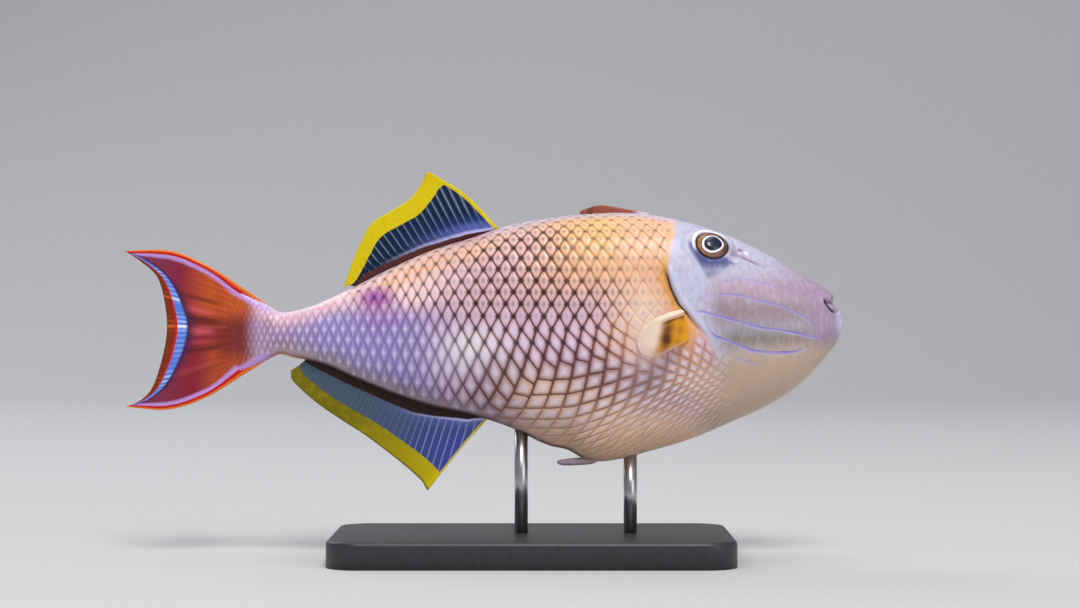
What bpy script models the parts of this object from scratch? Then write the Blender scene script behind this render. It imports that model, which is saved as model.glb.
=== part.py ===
"""A still, life-size model of a crosshatch triggerfish, held level over a plain display stand.

Lengths are written in millimetres and turned into metres when a mesh is made.
X runs along the fish towards its snout, Y across it, and Z up from the underside of the base.
"""

import math

import bmesh
import bpy
import numpy as np

MM = 0.001
GAP = 0.3

# Snout to tail tips, and the lengths that the rest follows.
SNOUT_X = 134.9
TAIL_ROOT_X = -81.0
TAIL_CUT_TOP = (-58.0, 99.0)
TAIL_CUT_LOW = (-67.0, 74.0)
GILL_CUT = (
    (64.5, 131.0),
    (67.4, 108.5),
    (73.2, 97.0),
    (77.6, 89.0),
    (80.8, 80.0),
    (83.0, 66.0),
    (87.0, 44.0),
)

# Side, width and section of the body: X and Z of the back, X and Z of the belly, half width,
# fullness above and below the widest line (1 is round, less is boxier), rise of that line.
BODY = (
    (-86.0, 98.6, -86.0, 72.2, 3.7, 1.00, 1.00, 0.00),
    (-81.2, 95.7, -81.2, 74.8, 4.3, 1.00, 1.00, 0.00),
    (-76.9, 92.9, -76.9, 76.9, 4.9, 0.98, 1.00, 0.00),
    (-71.5, 93.3, -71.5, 75.7, 5.6, 0.96, 1.00, 0.00),
    (-65.4, 94.9, -65.4, 74.6, 6.6, 0.95, 1.00, 0.00),
    (-57.9, 98.0, -57.9, 72.3, 7.9, 0.95, 1.00, 0.01),
    (-50.4, 101.6, -50.4, 68.9, 9.2, 0.95, 1.00, 0.02),
    (-35.3, 109.2, -35.3, 62.6, 11.9, 0.94, 1.02, 0.04),
    (-20.3, 115.8, -20.3, 57.6, 14.3, 0.93, 1.05, 0.06),
    (-5.3, 120.6, -5.3, 54.3, 16.5, 0.92, 1.08, 0.08),
    (9.8, 125.6, 9.8, 49.5, 18.4, 0.91, 1.10, 0.10),
    (24.8, 128.3, 24.8, 42.6, 19.9, 0.90, 1.13, 0.12),
    (32.0, 129.2, 32.0, 40.8, 20.5, 0.89, 1.14, 0.13),
    (36.5, 129.6, 36.5, 38.2, 20.8, 0.88, 1.15, 0.13),
    (41.0, 129.9, 41.0, 36.9, 21.0, 0.87, 1.15, 0.13),
    (51.1, 130.2, 51.1, 37.6, 21.4, 0.85, 1.13, 0.12),
    (62.4, 129.4, 62.4, 40.6, 21.4, 0.76, 1.10, 0.10),
    (77.5, 126.3, 77.5, 45.1, 20.4, 0.66, 1.05, 0.08),
    (92.5, 121.2, 92.5, 51.4, 18.3, 0.62, 1.00, 0.05),
    (105.7, 115.0, 106.8, 57.9, 15.5, 0.70, 0.96, 0.03),
    (115.8, 109.2, 118.8, 65.8, 12.4, 0.82, 0.94, 0.02),
    (123.3, 104.6, 127.9, 75.4, 9.5, 0.84, 0.92, 0.00),
    (127.6, 102.0, 132.9, 82.2, 7.7, 0.84, 0.90, 0.00),
    (130.3, 100.1, 134.8, 87.3, 6.1, 0.84, 0.90, 0.00),
    (132.0, 97.6, 135.2, 90.5, 4.0, 0.90, 0.90, 0.00),
)
SNOUT_TIP = (134.7, 93.6)

# Grid of each body piece: steps along it, and steps from belly to back on one side.
HEAD_STEPS = (36, 30)
TRUNK_STEPS = (52, 20)
TAIL_STEPS = (14, 12)

# Heights of the forms raised on a piece or sunk in it.
SCALE_RISE = 0.5
RIDGE_RISE = 0.3
LID_RISE = 0.7
LIP_RISE = 0.45
NOSTRIL_RISE = 0.6
CHEEK_LINE_DEPTH = 0.35
GROOVE_DEPTH = 0.7
GILL_EDGE_RISE = 0.7
GILL_FLOOR_DEPTH = 0.7

# Lines on the head, as X and Z, and how far each one reaches to its sides.
CHEEK_LINES = (
    ((84.0, 98.4), (94.3, 98.9), (105.8, 96.4), (116.0, 92.6), (122.8, 88.2)),
    ((80.0, 92.6), (90.0, 90.8), (101.0, 88.2), (112.0, 85.8), (126.4, 82.6)),
    ((82.0, 87.2), (87.0, 84.4), (95.0, 81.4), (105.0, 78.4), (119.5, 79.0)),
    ((91.4, 76.0), (96.5, 74.7), (101.8, 73.4)),
)
CHEEK_LINE_WIDTH = 0.8
EYE_GROOVE = ((93.2, 114.2), (98.6, 112.4), (106.4, 109.2))
EYE_GROOVE_WIDTH = 0.75
NOSTRIL = (98.4, 115.0)
NOSTRIL_WIDTH = 1.0
GILL_SLIT_TOP = 108.0
GILL_SLIT_LOW = 86.5
MOUTH_LINE = ((127.0, 98.8), (130.2, 96.4), (133.9, 92.4))
MOUTH_CUT = (
    (127.0, 98.9),
    (130.0, 97.7),
    (134.5, 97.5),
    (134.5, 95.9),
    (132.0, 96.0),
    (134.4, 92.5),
    (133.7, 92.0),
    (129.6, 96.4),
)
MOUTH_HALF_WIDTH = 12.0

# Rays that span each fin, from root to margin, as X and Z.
SECOND_DORSAL_RAYS = (
    ((4.9, 125.6), (-7.1, 137.2), (-20.9, 145.7)),
    ((-2.3, 123.3), (-12.0, 134.4), (-22.0, 144.9)),
    ((-8.3, 121.5), (-16.0, 133.0), (-23.5, 141.4)),
    ((-16.5, 118.6), (-22.6, 127.1), (-28.2, 135.2)),
    ((-23.7, 115.8), (-29.3, 123.3), (-35.0, 130.9)),
    ((-31.6, 112.4), (-36.8, 119.2), (-42.3, 126.1)),
    ((-38.4, 109.4), (-42.9, 114.3), (-46.8, 118.1)),
    ((-44.4, 106.4), (-47.4, 108.4), (-50.2, 109.6)),
    ((-48.0, 104.0), (-50.2, 104.0), (-52.4, 103.0)),
)
ANAL_RAYS = (
    ((1.5, 52.1), (-8.9, 41.2), (-21.1, 25.8)),
    ((-3.8, 53.8), (-12.4, 40.8), (-22.1, 27.0)),
    ((-10.5, 55.3), (-16.4, 42.9), (-23.5, 29.4)),
    ((-17.7, 56.6), (-22.4, 45.9), (-28.2, 33.8)),
    ((-24.8, 58.3), (-29.7, 48.1), (-35.0, 39.3)),
    ((-33.1, 61.3), (-38.4, 53.4), (-44.4, 46.4)),
    ((-42.1, 65.0), (-47.8, 58.0), (-53.0, 52.0)),
    ((-51.1, 68.8), (-56.6, 62.6), (-61.3, 57.6)),
    ((-59.8, 72.8), (-64.3, 67.3), (-68.3, 63.4)),
    ((-64.6, 74.0), (-68.6, 70.4), (-72.2, 67.6)),
    ((-67.0, 74.2), (-70.0, 72.6), (-72.6, 71.0)),
)
CAUDAL_RAYS = (
    ((-81.2, 95.5), (-91.7, 102.6), (-104.2, 110.5), (-118.1, 115.9), (-135.3, 116.0)),
    ((-81.2, 94.0), (-92.5, 101.0), (-105.3, 107.4), (-118.1, 111.7), (-129.3, 112.0)),
    ((-81.2, 91.4), (-92.5, 96.6), (-104.2, 100.8), (-114.7, 103.8), (-123.0, 106.0)),
    ((-81.2, 88.0), (-92.5, 90.6), (-103.4, 92.9), (-112.8, 94.8), (-120.1, 96.3)),
    ((-81.2, 85.0), (-92.5, 85.4), (-103.0, 85.7), (-111.7, 85.9), (-119.2, 85.8)),
    ((-81.2, 81.8), (-92.5, 79.6), (-103.0, 77.7), (-112.0, 76.0), (-121.1, 74.8)),
    ((-81.2, 79.0), (-92.5, 74.1), (-103.8, 69.9), (-114.7, 66.6), (-124.6, 64.6)),
    ((-81.2, 76.7), (-91.7, 70.4), (-104.5, 64.9), (-117.3, 60.9), (-129.0, 59.8)),
    ((-81.2, 75.0), (-90.6, 69.2), (-104.2, 60.9), (-118.8, 56.2), (-134.7, 57.2)),
)
FIRST_DORSAL_RAYS = (
    ((61.5, 129.4), (62.0, 129.8), (62.4, 130.2)),
    ((55.0, 130.0), (55.2, 130.6), (55.4, 131.2)),
    ((48.0, 130.2), (47.8, 131.4), (47.2, 132.7)),
    ((42.0, 130.0), (42.4, 131.6), (42.6, 133.0)),
    ((39.0, 129.8), (39.2, 131.0), (39.2, 132.0)),
    ((36.0, 129.5), (36.2, 130.2), (36.2, 130.9)),
)
# The right pectoral fin as X, distance from the middle plane, and Z.
PECTORAL_RAYS = (
    ((73.0, 20.8, 94.0), (67.4, 30.6, 92.6), (60.5, 37.0, 89.6)),
    ((74.0, 21.0, 91.4), (66.4, 31.2, 89.2), (57.4, 37.6, 85.6)),
    ((75.0, 21.0, 88.6), (65.8, 30.6, 85.6), (55.8, 36.2, 81.6)),
    ((75.8, 20.9, 85.6), (66.4, 29.0, 81.8), (57.6, 32.8, 77.6)),
    ((76.4, 20.6, 82.6), (69.0, 26.4, 79.0), (62.0, 28.8, 75.6)),
)
# Eye: middle of its opening, half sizes along, above and through it, and how far it stands out.
EYE = (85.7, 118.0)
EYE_HALF = (7.5, 6.6, 4.6)
EYE_PROUD = 1.7
EYE_OPENING = (6.6, 5.7)

# Display stand.
BASE = (150.0, 84.0, 10.0)
BASE_X = 18.0
BASE_EDGE = 1.6
ROD_RADIUS = 2.5
ROD_X = (14.0, 55.0)


def clear_scene():
    for item in list(bpy.data.objects):
        bpy.data.objects.remove(item, do_unlink=True)


def material(name, colour, rough, metal=0.0):
    made = bpy.data.materials.new(name)
    made.use_nodes = True
    shader = made.node_tree.nodes["Principled BSDF"]
    shader.inputs["Base Color"].default_value = (*colour, 1.0)
    shader.inputs["Roughness"].default_value = rough
    shader.inputs["Metallic"].default_value = metal
    return made


def spline(knots, values, at):
    """A smooth curve through the values at the knots, read at each place in at."""
    knots = np.asarray(knots, float)
    values = np.asarray(values, float)
    at = np.asarray(at, float)
    slope = np.empty_like(values)
    step = np.diff(knots)
    rise = np.diff(values, axis=0) / step.reshape(-1, *([1] * (values.ndim - 1)))
    share = (step[:-1] / (step[:-1] + step[1:])).reshape(-1, *([1] * (values.ndim - 1)))
    slope[1:-1] = rise[:-1] * (1 - share) + rise[1:] * share
    slope[0] = rise[0]
    slope[-1] = rise[-1]
    index = np.clip(np.searchsorted(knots, at, side="right") - 1, 0, len(knots) - 2)
    wide = step[index]
    u = np.clip((at - knots[index]) / wide, 0.0, 1.0)
    more = (...,) + (None,) * (values.ndim - 1)
    u = u[more]
    wide = wide[more]
    return (
        values[index] * (1 + 2 * u) * (1 - u) ** 2
        + slope[index] * wide * u * (1 - u) ** 2
        + values[index + 1] * u * u * (3 - 2 * u)
        + slope[index + 1] * wide * u * u * (u - 1)
    )


BODY_KNOTS = [(row[0] + row[2]) / 2 for row in BODY]


def body(s, t):
    """Points of the right side: s runs along the body, t from the belly, -pi/2, to the back."""
    s, t = np.broadcast_arrays(np.asarray(s, float), np.asarray(t, float))
    row = spline(BODY_KNOTS, BODY, s)
    back_x, back_z, low_x, low_z, half, above, below, lift = np.moveaxis(row, -1, 0)
    up = np.sin(t)
    across = np.clip(np.cos(t), 0.0, 1.0)
    height = up + lift * across**2
    full = below + (above - below) * (0.5 + 0.5 * up)
    x = (back_x + low_x) / 2 + height * (back_x - low_x) / 2
    z = (back_z + low_z) / 2 + height * (back_z - low_z) / 2
    return np.stack([x, -half * across**full, z], axis=-1)


def normals(s, t):
    """Outward directions of the right side."""
    step_s = body(s + 0.05, t) - body(s - 0.05, t)
    edge = 0.5 * math.pi - 0.02
    t = np.clip(t, -edge, edge)
    step_t = body(s, t + 0.01) - body(s, t - 0.01)
    out = np.cross(step_s, step_t)
    return out / np.linalg.norm(out, axis=-1, keepdims=True)


def back_height(x):
    return float(body(x, math.pi / 2)[2])


def side_depth(x, z):
    """Half width of the body at a place on its side."""
    t = np.linspace(-math.pi / 2, math.pi / 2, 361)
    points = body(np.full_like(t, x), t)
    return float(np.interp(z, points[:, 2], -points[:, 1]))


def under_height(x, y):
    """Height of the belly surface over a place below it."""
    t = np.linspace(-math.pi / 2, -0.2, 241)
    points = body(np.full_like(t, x), t)
    return float(np.interp(abs(y), -points[:, 1], points[:, 2]))


def line_distance(x, z, line):
    """How far each place is, in side view, from a line through the given places."""
    best = np.full(np.shape(x), 1e9)
    for (ax, az), (bx, bz) in zip(line[:-1], line[1:]):
        wide = (bx - ax) ** 2 + (bz - az) ** 2
        share = np.clip(((x - ax) * (bx - ax) + (z - az) * (bz - az)) / wide, 0.0, 1.0)
        best = np.minimum(best, np.hypot(x - ax - share * (bx - ax), z - az - share * (bz - az)))
    return best


def hump(distance, width):
    return np.exp(-((distance / width) ** 2))


def eye_frame():
    """Middle of the right eye's opening and its directions forwards, upwards and outwards."""
    t = np.linspace(0.0, math.pi / 2, 361)
    points = body(np.full_like(t, EYE[0]), t)
    found = float(np.interp(EYE[1], points[:, 2], t))
    middle = body(EYE[0], found)
    out = normals(EYE[0], found)
    forward = np.array((1.0, 0.0, 0.0))
    forward = forward - out * forward.dot(out)
    forward /= np.linalg.norm(forward)
    upward = np.cross(forward, out)
    if upward[2] < 0:
        upward = -upward
    return middle, forward, upward, out


def cut_place(line, t):
    """Where along the body a cut that follows the line meets each t."""
    line = sorted(line, key=lambda place: place[1])
    heights = [place[1] for place in line]
    places = [place[0] for place in line]
    s = np.full_like(t, np.mean(places))
    for _ in range(30):
        s = np.interp(body(s, t)[..., 2], heights, places)
    return s


def add_mesh(name, points, faces, shader, smooth=True):
    """A closed mesh with its faces turned outwards."""
    mesh = bpy.data.meshes.new(name)
    mesh.from_pydata([tuple(p) for p in np.asarray(points) * MM], [], faces)
    work = bmesh.new()
    work.from_mesh(mesh)
    bmesh.ops.recalc_face_normals(work, faces=work.faces)
    if work.calc_volume(signed=True) < 0:
        bmesh.ops.reverse_faces(work, faces=work.faces)
    bmesh.ops.triangulate(work, faces=[f for f in work.faces if len(f.verts) > 3])
    work.to_mesh(mesh)
    work.free()
    mesh.materials.append(shader)
    for face in mesh.polygons:
        face.use_smooth = smooth
    made = bpy.data.objects.new(name, mesh)
    bpy.context.scene.collection.objects.link(made)
    return made


def cut(target, name, points, faces):
    """Takes a closed shape away from an object."""
    tool = add_mesh(name, points, faces, target.data.materials[0])
    tool.hide_render = True
    tool.display_type = "WIRE"
    step = target.modifiers.new("cut", "BOOLEAN")
    step.operation = "DIFFERENCE"
    step.solver = "EXACT"
    step.object = tool
    bpy.context.view_layer.update()
    graph = bpy.context.evaluated_depsgraph_get()
    mesh = bpy.data.meshes.new_from_object(target.evaluated_get(graph))
    target.modifiers.clear()
    target.data = mesh
    bpy.data.objects.remove(tool, do_unlink=True)


def body_piece(name, rear, front, steps, rise, shader, nose=None):
    """A length of the body between two cuts, closed by a flat-ruled wall at each cut."""
    along, up = steps
    t = np.linspace(-math.pi / 2, math.pi / 2, up + 1)
    share = np.linspace(0.0, 1.0, along + 1)[:, None]
    if nose:
        share = 1.0 - (1.0 - share) ** 1.2
    s = rear(t)[None, :] * (1 - share) + front(t)[None, :] * share
    t = np.broadcast_to(t, s.shape)
    right = body(s, t)
    right = right + normals(s, t) * rise(s, t, right)[..., None]
    right[:, 0, 1] = 0.0
    right[:, -1, 1] = 0.0
    left = right[:, -2:0:-1] * (1, -1, 1)
    ring = np.concatenate([right, left], axis=1)
    count = 2 * up
    points = ring.reshape(-1, 3).tolist()
    faces = []
    for i in range(along):
        for j in range(count):
            a = i * count + j
            b = i * count + (j + 1) % count
            c = a + count
            d = b + count
            if (i + j) % 2:
                faces += [(a, b, d), (a, d, c)]
            else:
                faces += [(a, b, c), (b, d, c)]
    ends = [0] if nose else [0, along]
    for i in ends:
        for j in range(up):
            low = (i * count + j, i * count + (count - j) % count)
            top = (i * count + j + 1, i * count + (count - j - 1) % count)
            loop = []
            for corner in (low[0], top[0], top[1], low[1]):
                if corner not in loop:
                    loop.append(corner)
            faces.append(tuple(loop))
    if nose:
        points.append((nose[0], 0.0, nose[1]))
        for j in range(count):
            a = along * count + j
            b = along * count + (j + 1) % count
            faces.append((a, b, len(points) - 1))
    return add_mesh(name, points, faces, shader)


def fan(rays, u, v):
    """Points of a fin: u runs from root to margin, v across its rays."""
    rays = np.asarray(rays, float)
    first = spline(np.linspace(0, 1, len(rays)), rays, v)
    out = np.empty((len(v), len(u), rays.shape[-1]))
    for i, line in enumerate(first):
        out[i] = spline(np.linspace(0, 1, len(line)), line, u)
    return out


def plate(name, centre, side, half, shader):
    """A thin fin: two faces, half a thickness to either side, triangulated alike."""
    one = centre + side * half[..., None]
    two = centre - side * half[..., None]
    rows, columns = centre.shape[:2]
    points = np.concatenate([one.reshape(-1, 3), two.reshape(-1, 3)])
    size = rows * columns
    faces = []
    for i in range(rows - 1):
        for j in range(columns - 1):
            a = i * columns + j
            b, c, d = a + 1, a + columns, a + columns + 1
            if i % 2:
                pair = [(a, b, d), (a, d, c)]
            else:
                pair = [(a, b, c), (b, d, c)]
            faces += pair
            faces += [tuple(size + k for k in reversed(face)) for face in pair]
    edge = [j for j in range(columns)]
    edge += [i * columns + columns - 1 for i in range(1, rows)]
    edge += [(rows - 1) * columns + j for j in range(columns - 2, -1, -1)]
    edge += [i * columns for i in range(rows - 2, 0, -1)]
    for k, a in enumerate(edge):
        b = edge[(k + 1) % len(edge)]
        faces.append((a, size + a, size + b, b))
    return add_mesh(name, points, faces, shader)


def flat_fin(name, rays, count, rows, seat, thick, shader, lead=0.0):
    """A fin in the middle plane, with a raised ridge for each of its rays."""
    u = np.interp(np.linspace(0.0, 1.0, rows), (0.0, 0.3, 1.0), (0.0, 0.17, 1.0))
    v = np.linspace(0.0, 1.0, 2 * count + 1)
    place = fan(rays, u, v)
    place[:, 0, 1] = [seat(x) for x in place[:, 0, 0]]
    centre = np.stack([place[..., 0], np.zeros(place.shape[:2]), place[..., 1]], axis=-1)
    ridge = (np.arange(len(v)) % 2)[:, None] * RIDGE_RISE * smooth_step(0.1, 0.2, u)[None, :]
    ridge = ridge * (1 - 0.6 * u)[None, :]
    half = np.interp(u, (0.0, 0.1, 0.18, 0.5, 1.0), thick)[None, :] + ridge
    half = half + lead * np.exp(-(v[:, None] / 0.03) ** 2) * (1 - 0.6 * u[None, :])
    half = np.broadcast_to(half, place.shape[:2])
    side = np.zeros_like(centre)
    side[..., 1] = -1.0
    return plate(name, centre, side, half, shader)


def ball(middle, axes, halves, rings, around):
    """Points and faces of an egg shape: its poles lie along the third axis."""
    points = []
    for i in range(rings + 1):
        a = math.pi * i / rings
        for j in range(around if 0 < i < rings else 1):
            b = 2 * math.pi * j / around
            place = np.array(middle, float)
            place = place + axes[0] * halves[0] * math.sin(a) * math.cos(b)
            place = place + axes[1] * halves[1] * math.sin(a) * math.sin(b)
            place = place + axes[2] * halves[2] * math.cos(a)
            points.append(tuple(place))
    faces = []
    last = len(points) - 1
    for j in range(around):
        k = (j + 1) % around
        faces.append((0, 1 + j, 1 + k))
        for i in range(rings - 2):
            a = 1 + i * around
            faces.append((a + j, a + around + j, a + around + k, a + k))
        a = 1 + (rings - 2) * around
        faces.append((last, a + k, a + j))
    return points, faces


def smooth_step(low, high, value):
    u = np.clip((value - low) / (high - low), 0.0, 1.0)
    return u * u * (3 - 2 * u)


def trunk_rise(s, t, place):
    """Raised middle of each scale plate, none at the ridges and round the pectoral fin."""
    x, z = place[..., 0], place[..., 2]
    i, j = np.indices(s.shape)
    middle = ((i + j) % 2 == 0) * 1.0
    fade = smooth_step(0.05, 0.22, np.cos(t)) * SCALE_RISE
    fade = fade * smooth_step(7.0, 12.0, np.hypot(x - 75.0, z - 88.0))
    inner = (i > 0) & (i < s.shape[0] - 1)
    edge = np.interp(z, [place[1] for place in GILL_CUT[::-1]], [place[0] for place in GILL_CUT[::-1]])
    window = smooth_step(GILL_SLIT_LOW - 3, GILL_SLIT_LOW, z) * smooth_step(GILL_SLIT_TOP + 3, GILL_SLIT_TOP, z)
    return middle * fade * inner - GILL_FLOOR_DEPTH * hump(x - edge, 1.6) * window


def head_rise(s, t, place):
    """Lids, nostril, groove before the eye, cheek lines, lips and the edge of the gill cover."""
    x, z = place[..., 0], place[..., 2]
    middle, forward, upward, out = eye_frame()
    reach = place - middle
    around_eye = np.hypot(reach @ forward / EYE_OPENING[0], reach @ upward / EYE_OPENING[1])
    rise = LID_RISE * hump(around_eye - 1.16, 0.2)
    rise = rise - 0.5 * hump(around_eye - 1.6, 0.22)
    rise = rise + NOSTRIL_RISE * hump(np.hypot(x - NOSTRIL[0], z - NOSTRIL[1]), NOSTRIL_WIDTH)
    rise = rise - GROOVE_DEPTH * hump(line_distance(x, z, EYE_GROOVE), EYE_GROOVE_WIDTH)
    for line in CHEEK_LINES:
        rise = rise - CHEEK_LINE_DEPTH * hump(line_distance(x, z, line), CHEEK_LINE_WIDTH)
    rise = rise + LIP_RISE * hump(line_distance(x, z, MOUTH_LINE) - 1.5, 0.8)
    edge = np.interp(z, [place[1] for place in GILL_CUT[::-1]], [place[0] for place in GILL_CUT[::-1]])
    window = smooth_step(GILL_SLIT_LOW - 3, GILL_SLIT_LOW, z) * smooth_step(GILL_SLIT_TOP + 3, GILL_SLIT_TOP, z)
    rise = rise + GILL_EDGE_RISE * hump(x - edge - 1.0, 2.2) * window
    return rise * smooth_step(0.02, 0.2, np.cos(t))


def tail_cut(gap):
    line = [(place[0] + gap, place[1]) for place in (TAIL_CUT_TOP, TAIL_CUT_LOW)]
    return lambda t: cut_place([(-49.0 + gap, 124.0), *line, (-76.0 + gap, 49.0)], t)


def gill_cut(gap):
    return lambda t: cut_place([(x + gap, z) for x, z in GILL_CUT], t)


def make_body():
    skin = material("lilac_skin", (0.55, 0.52, 0.70), 0.4)
    flank = material("plated_flank", (0.60, 0.45, 0.45), 0.45)
    stem = material("tail_base_skin", (0.50, 0.38, 0.55), 0.45)
    head = body_piece(
        "head",
        gill_cut(GAP / 2),
        lambda t: np.full_like(t, BODY_KNOTS[-1]),
        HEAD_STEPS,
        head_rise,
        skin,
        SNOUT_TIP,
    )
    cut(head, "mouth", *prism(MOUTH_CUT, MOUTH_HALF_WIDTH))
    body_piece("trunk", tail_cut(GAP / 2), gill_cut(-GAP / 2), TRUNK_STEPS, trunk_rise, flank)
    body_piece(
        "tail_base",
        lambda t: np.full_like(t, TAIL_ROOT_X + GAP / 2),
        tail_cut(-GAP / 2),
        TAIL_STEPS,
        trunk_rise,
        stem,
    )
    return head


def prism(outline, half):
    """Points and faces of a side-view outline carried straight across the fish."""
    count = len(outline)
    points = [(x, -half, z) for x, z in outline] + [(x, half, z) for x, z in outline]
    faces = [tuple(range(count)), tuple(range(2 * count - 1, count - 1, -1))]
    for i in range(count):
        j = (i + 1) % count
        faces.append((i, count + i, count + j, j))
    return points, faces


def make_eyes(head):
    iris = material("eye_brown", (0.16, 0.08, 0.04), 0.15)
    middle, forward, upward, out = eye_frame()
    centre = middle + out * (EYE_PROUD - EYE_HALF[2])
    room = [half + GAP for half in EYE_HALF]
    for name, side in (("eye_right", 1.0), ("eye_left", -1.0)):
        flip = np.array((1.0, side, 1.0))
        axes = (forward * flip, upward * flip, out * flip)
        cut(head, "socket", *ball(centre * flip, axes, room, 12, 24))
        add_mesh(name, *ball(centre * flip, axes, EYE_HALF, 10, 20), iris)


def make_fins():
    blue = material("slate_blue_membrane", (0.08, 0.12, 0.25), 0.4)
    red = material("tail_red", (0.45, 0.06, 0.04), 0.4)
    rust = material("first_fin_rust", (0.30, 0.08, 0.04), 0.45)
    flat_fin(
        "second_dorsal_fin",
        SECOND_DORSAL_RAYS,
        24,
        8,
        lambda x: back_height(x) + GAP,
        (1.6, 1.5, 0.9, 0.6, 0.32),
        blue,
        0.25,
    )
    flat_fin(
        "anal_fin",
        ANAL_RAYS,
        24,
        8,
        lambda x: float(body(x, -math.pi / 2)[2]) - GAP,
        (1.6, 1.5, 0.9, 0.6, 0.32),
        blue,
        0.25,
    )
    flat_fin(
        "first_dorsal_fin",
        FIRST_DORSAL_RAYS,
        6,
        4,
        lambda x: back_height(x) + GAP,
        (1.4, 1.3, 1.2, 0.9, 0.7),
        rust,
    )
    make_caudal(red)
    make_pectorals(material("pectoral_pale", (0.75, 0.55, 0.50), 0.4))


def make_caudal(shader):
    u = np.linspace(0.0, 1.0, 12)
    v = np.linspace(0.0, 1.0, 29)
    place = fan(CAUDAL_RAYS, u, v)
    place[:, 0, 0] = TAIL_ROOT_X - GAP / 2
    centre = np.stack([place[..., 0], np.zeros(place.shape[:2]), place[..., 1]], axis=-1)
    root = np.array([side_depth(TAIL_ROOT_X, z) for z in place[:, 0, 1]])[:, None]
    root = np.maximum(root, 0.8)
    reach = (1 - u[None, :]) ** 3
    ridge = (np.arange(len(v)) % 2)[:, None] * RIDGE_RISE * (u * (1 - 0.7 * u))[None, :]
    half = 0.35 + (root - 0.35) * reach + ridge
    side = np.zeros_like(centre)
    side[..., 1] = -1.0
    plate("caudal_fin", centre, side, half, shader)


def make_pectorals(shader):
    u = np.linspace(0.0, 1.0, 8)
    v = np.linspace(0.0, 1.0, 19)
    place = fan(PECTORAL_RAYS, u, v)
    along_u = np.gradient(place, axis=1)
    along_v = np.gradient(place, axis=0)
    side = np.cross(along_u, along_v)
    side /= np.linalg.norm(side, axis=-1, keepdims=True)
    ridge = (np.arange(len(v)) % 2)[:, None] * RIDGE_RISE * (1 - 0.7 * u)[None, :]
    half = 0.32 + 0.5 * (1 - u[None, :]) ** 2 + ridge
    half = half + 0.45 * np.exp(-((v[:, None] / 0.06) ** 2)) * (1 - 0.6 * u[None, :])
    for face in (1.0, -1.0):
        edge = place[:, 0] + face * side[:, 0] * half[:, :1]
        edge[:, 1] = [side_depth(x, z) + GAP for x, z in edge[:, [0, 2]]]
        if face > 0:
            one = edge
        else:
            two = edge
    place[:, 0] = (one + two) / 2
    side[:, 0] = (one - two) / 2
    half = np.array(half)
    half[:, 0] = 1.0
    for name, turn in (("pectoral_fin_right", -1.0), ("pectoral_fin_left", 1.0)):
        flip = np.array((1.0, turn, 1.0))
        plate(name, place * flip, side * flip, half, shader)


def make_pelvic_spine():
    """The blunt bony stub that ends the belly keel and points to the tail."""
    shader = material("pelvic_bone_skin", (0.50, 0.33, 0.30), 0.5)
    around = 12
    rows = (
        (42.5, 36.3, 0.7),
        (40.0, 36.4, 1.15),
        (37.6, 36.5, 1.3),
        (35.0, 36.6, 1.35),
        (32.4, 36.5, 1.3),
        (30.0, 36.4, 1.15),
        (28.2, 36.4, 0.9),
        (27.4, 36.5, 0.45),
    )
    points = []
    for x, z, radius in rows:
        for j in range(around):
            a = 2 * math.pi * j / around
            points.append((x, radius * math.cos(a), z + radius * math.sin(a)))
    faces = [tuple(range(around)), tuple(range(len(points) - around, len(points)))]
    for i in range(len(rows) - 1):
        for j in range(around):
            k = (j + 1) % around
            faces.append((i * around + j, i * around + k, (i + 1) * around + k, (i + 1) * around + j))
    for point in range(len(points)):
        x, y, z = points[point]
        limit = under_height(x, y) - GAP
        points[point] = (x, y, min(z, limit))
    add_mesh("pelvic_spine", points, faces, shader)


def make_stand():
    dark = material("stand_base_grey", (0.05, 0.05, 0.055), 0.5)
    steel = material("stand_rod_steel", (0.55, 0.55, 0.56), 0.3, 1.0)
    work = bmesh.new()
    bmesh.ops.create_cube(work, size=1.0)
    for vert in work.verts:
        vert.co.x = (vert.co.x * BASE[0] + BASE_X) * MM
        vert.co.y = vert.co.y * BASE[1] * MM
        vert.co.z = (vert.co.z + 0.5) * BASE[2] * MM
    upright = [e for e in work.edges if abs(e.verts[0].co.z - e.verts[1].co.z) > 0.001]
    bmesh.ops.bevel(
        work, geom=upright, offset=12 * MM, segments=6, profile=0.5, affect="EDGES", material=-1
    )
    rim = [e for e in work.edges if min(v.co.z for v in e.verts) > BASE[2] * MM - 1e-6]
    bmesh.ops.bevel(
        work, geom=rim, offset=BASE_EDGE * MM, segments=2, profile=0.5, affect="EDGES", material=-1
    )
    mesh = bpy.data.meshes.new("stand_base")
    work.to_mesh(mesh)
    work.free()
    mesh.materials.append(dark)
    base = bpy.data.objects.new("stand_base", mesh)
    bpy.context.scene.collection.objects.link(base)
    for number, x in enumerate(ROD_X, 1):
        around = 20
        low = []
        top = []
        for j in range(around):
            a = 2 * math.pi * j / around
            px = x + ROD_RADIUS * math.cos(a)
            py = ROD_RADIUS * math.sin(a)
            low.append((px, py, BASE[2] + GAP))
            top.append((px, py, under_height(px, py) - GAP))
        points = low + top + [(x, 0.0, BASE[2] + GAP), (x, 0.0, under_height(x, 0.0) - GAP)]
        faces = []
        for j in range(around):
            k = (j + 1) % around
            faces.append((j, k, around + k, around + j))
            faces.append((k, j, 2 * around))
            faces.append((around + j, around + k, 2 * around + 1))
        add_mesh(f"stand_rod_{number}", points, faces, steel)


def main():
    clear_scene()
    head = make_body()
    make_eyes(head)
    make_fins()
    make_pelvic_spine()
    make_stand()


main()
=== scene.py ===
"""A still display model of a crosshatch triggerfish: its skin, scale plates, fins, eyes and stand.

Lengths in the tables are millimetres. X runs towards the snout, Y across the fish, Z up.
"""

import math

import bmesh
import bpy
import numpy as np
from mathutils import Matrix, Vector
from mathutils.kdtree import KDTree


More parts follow.
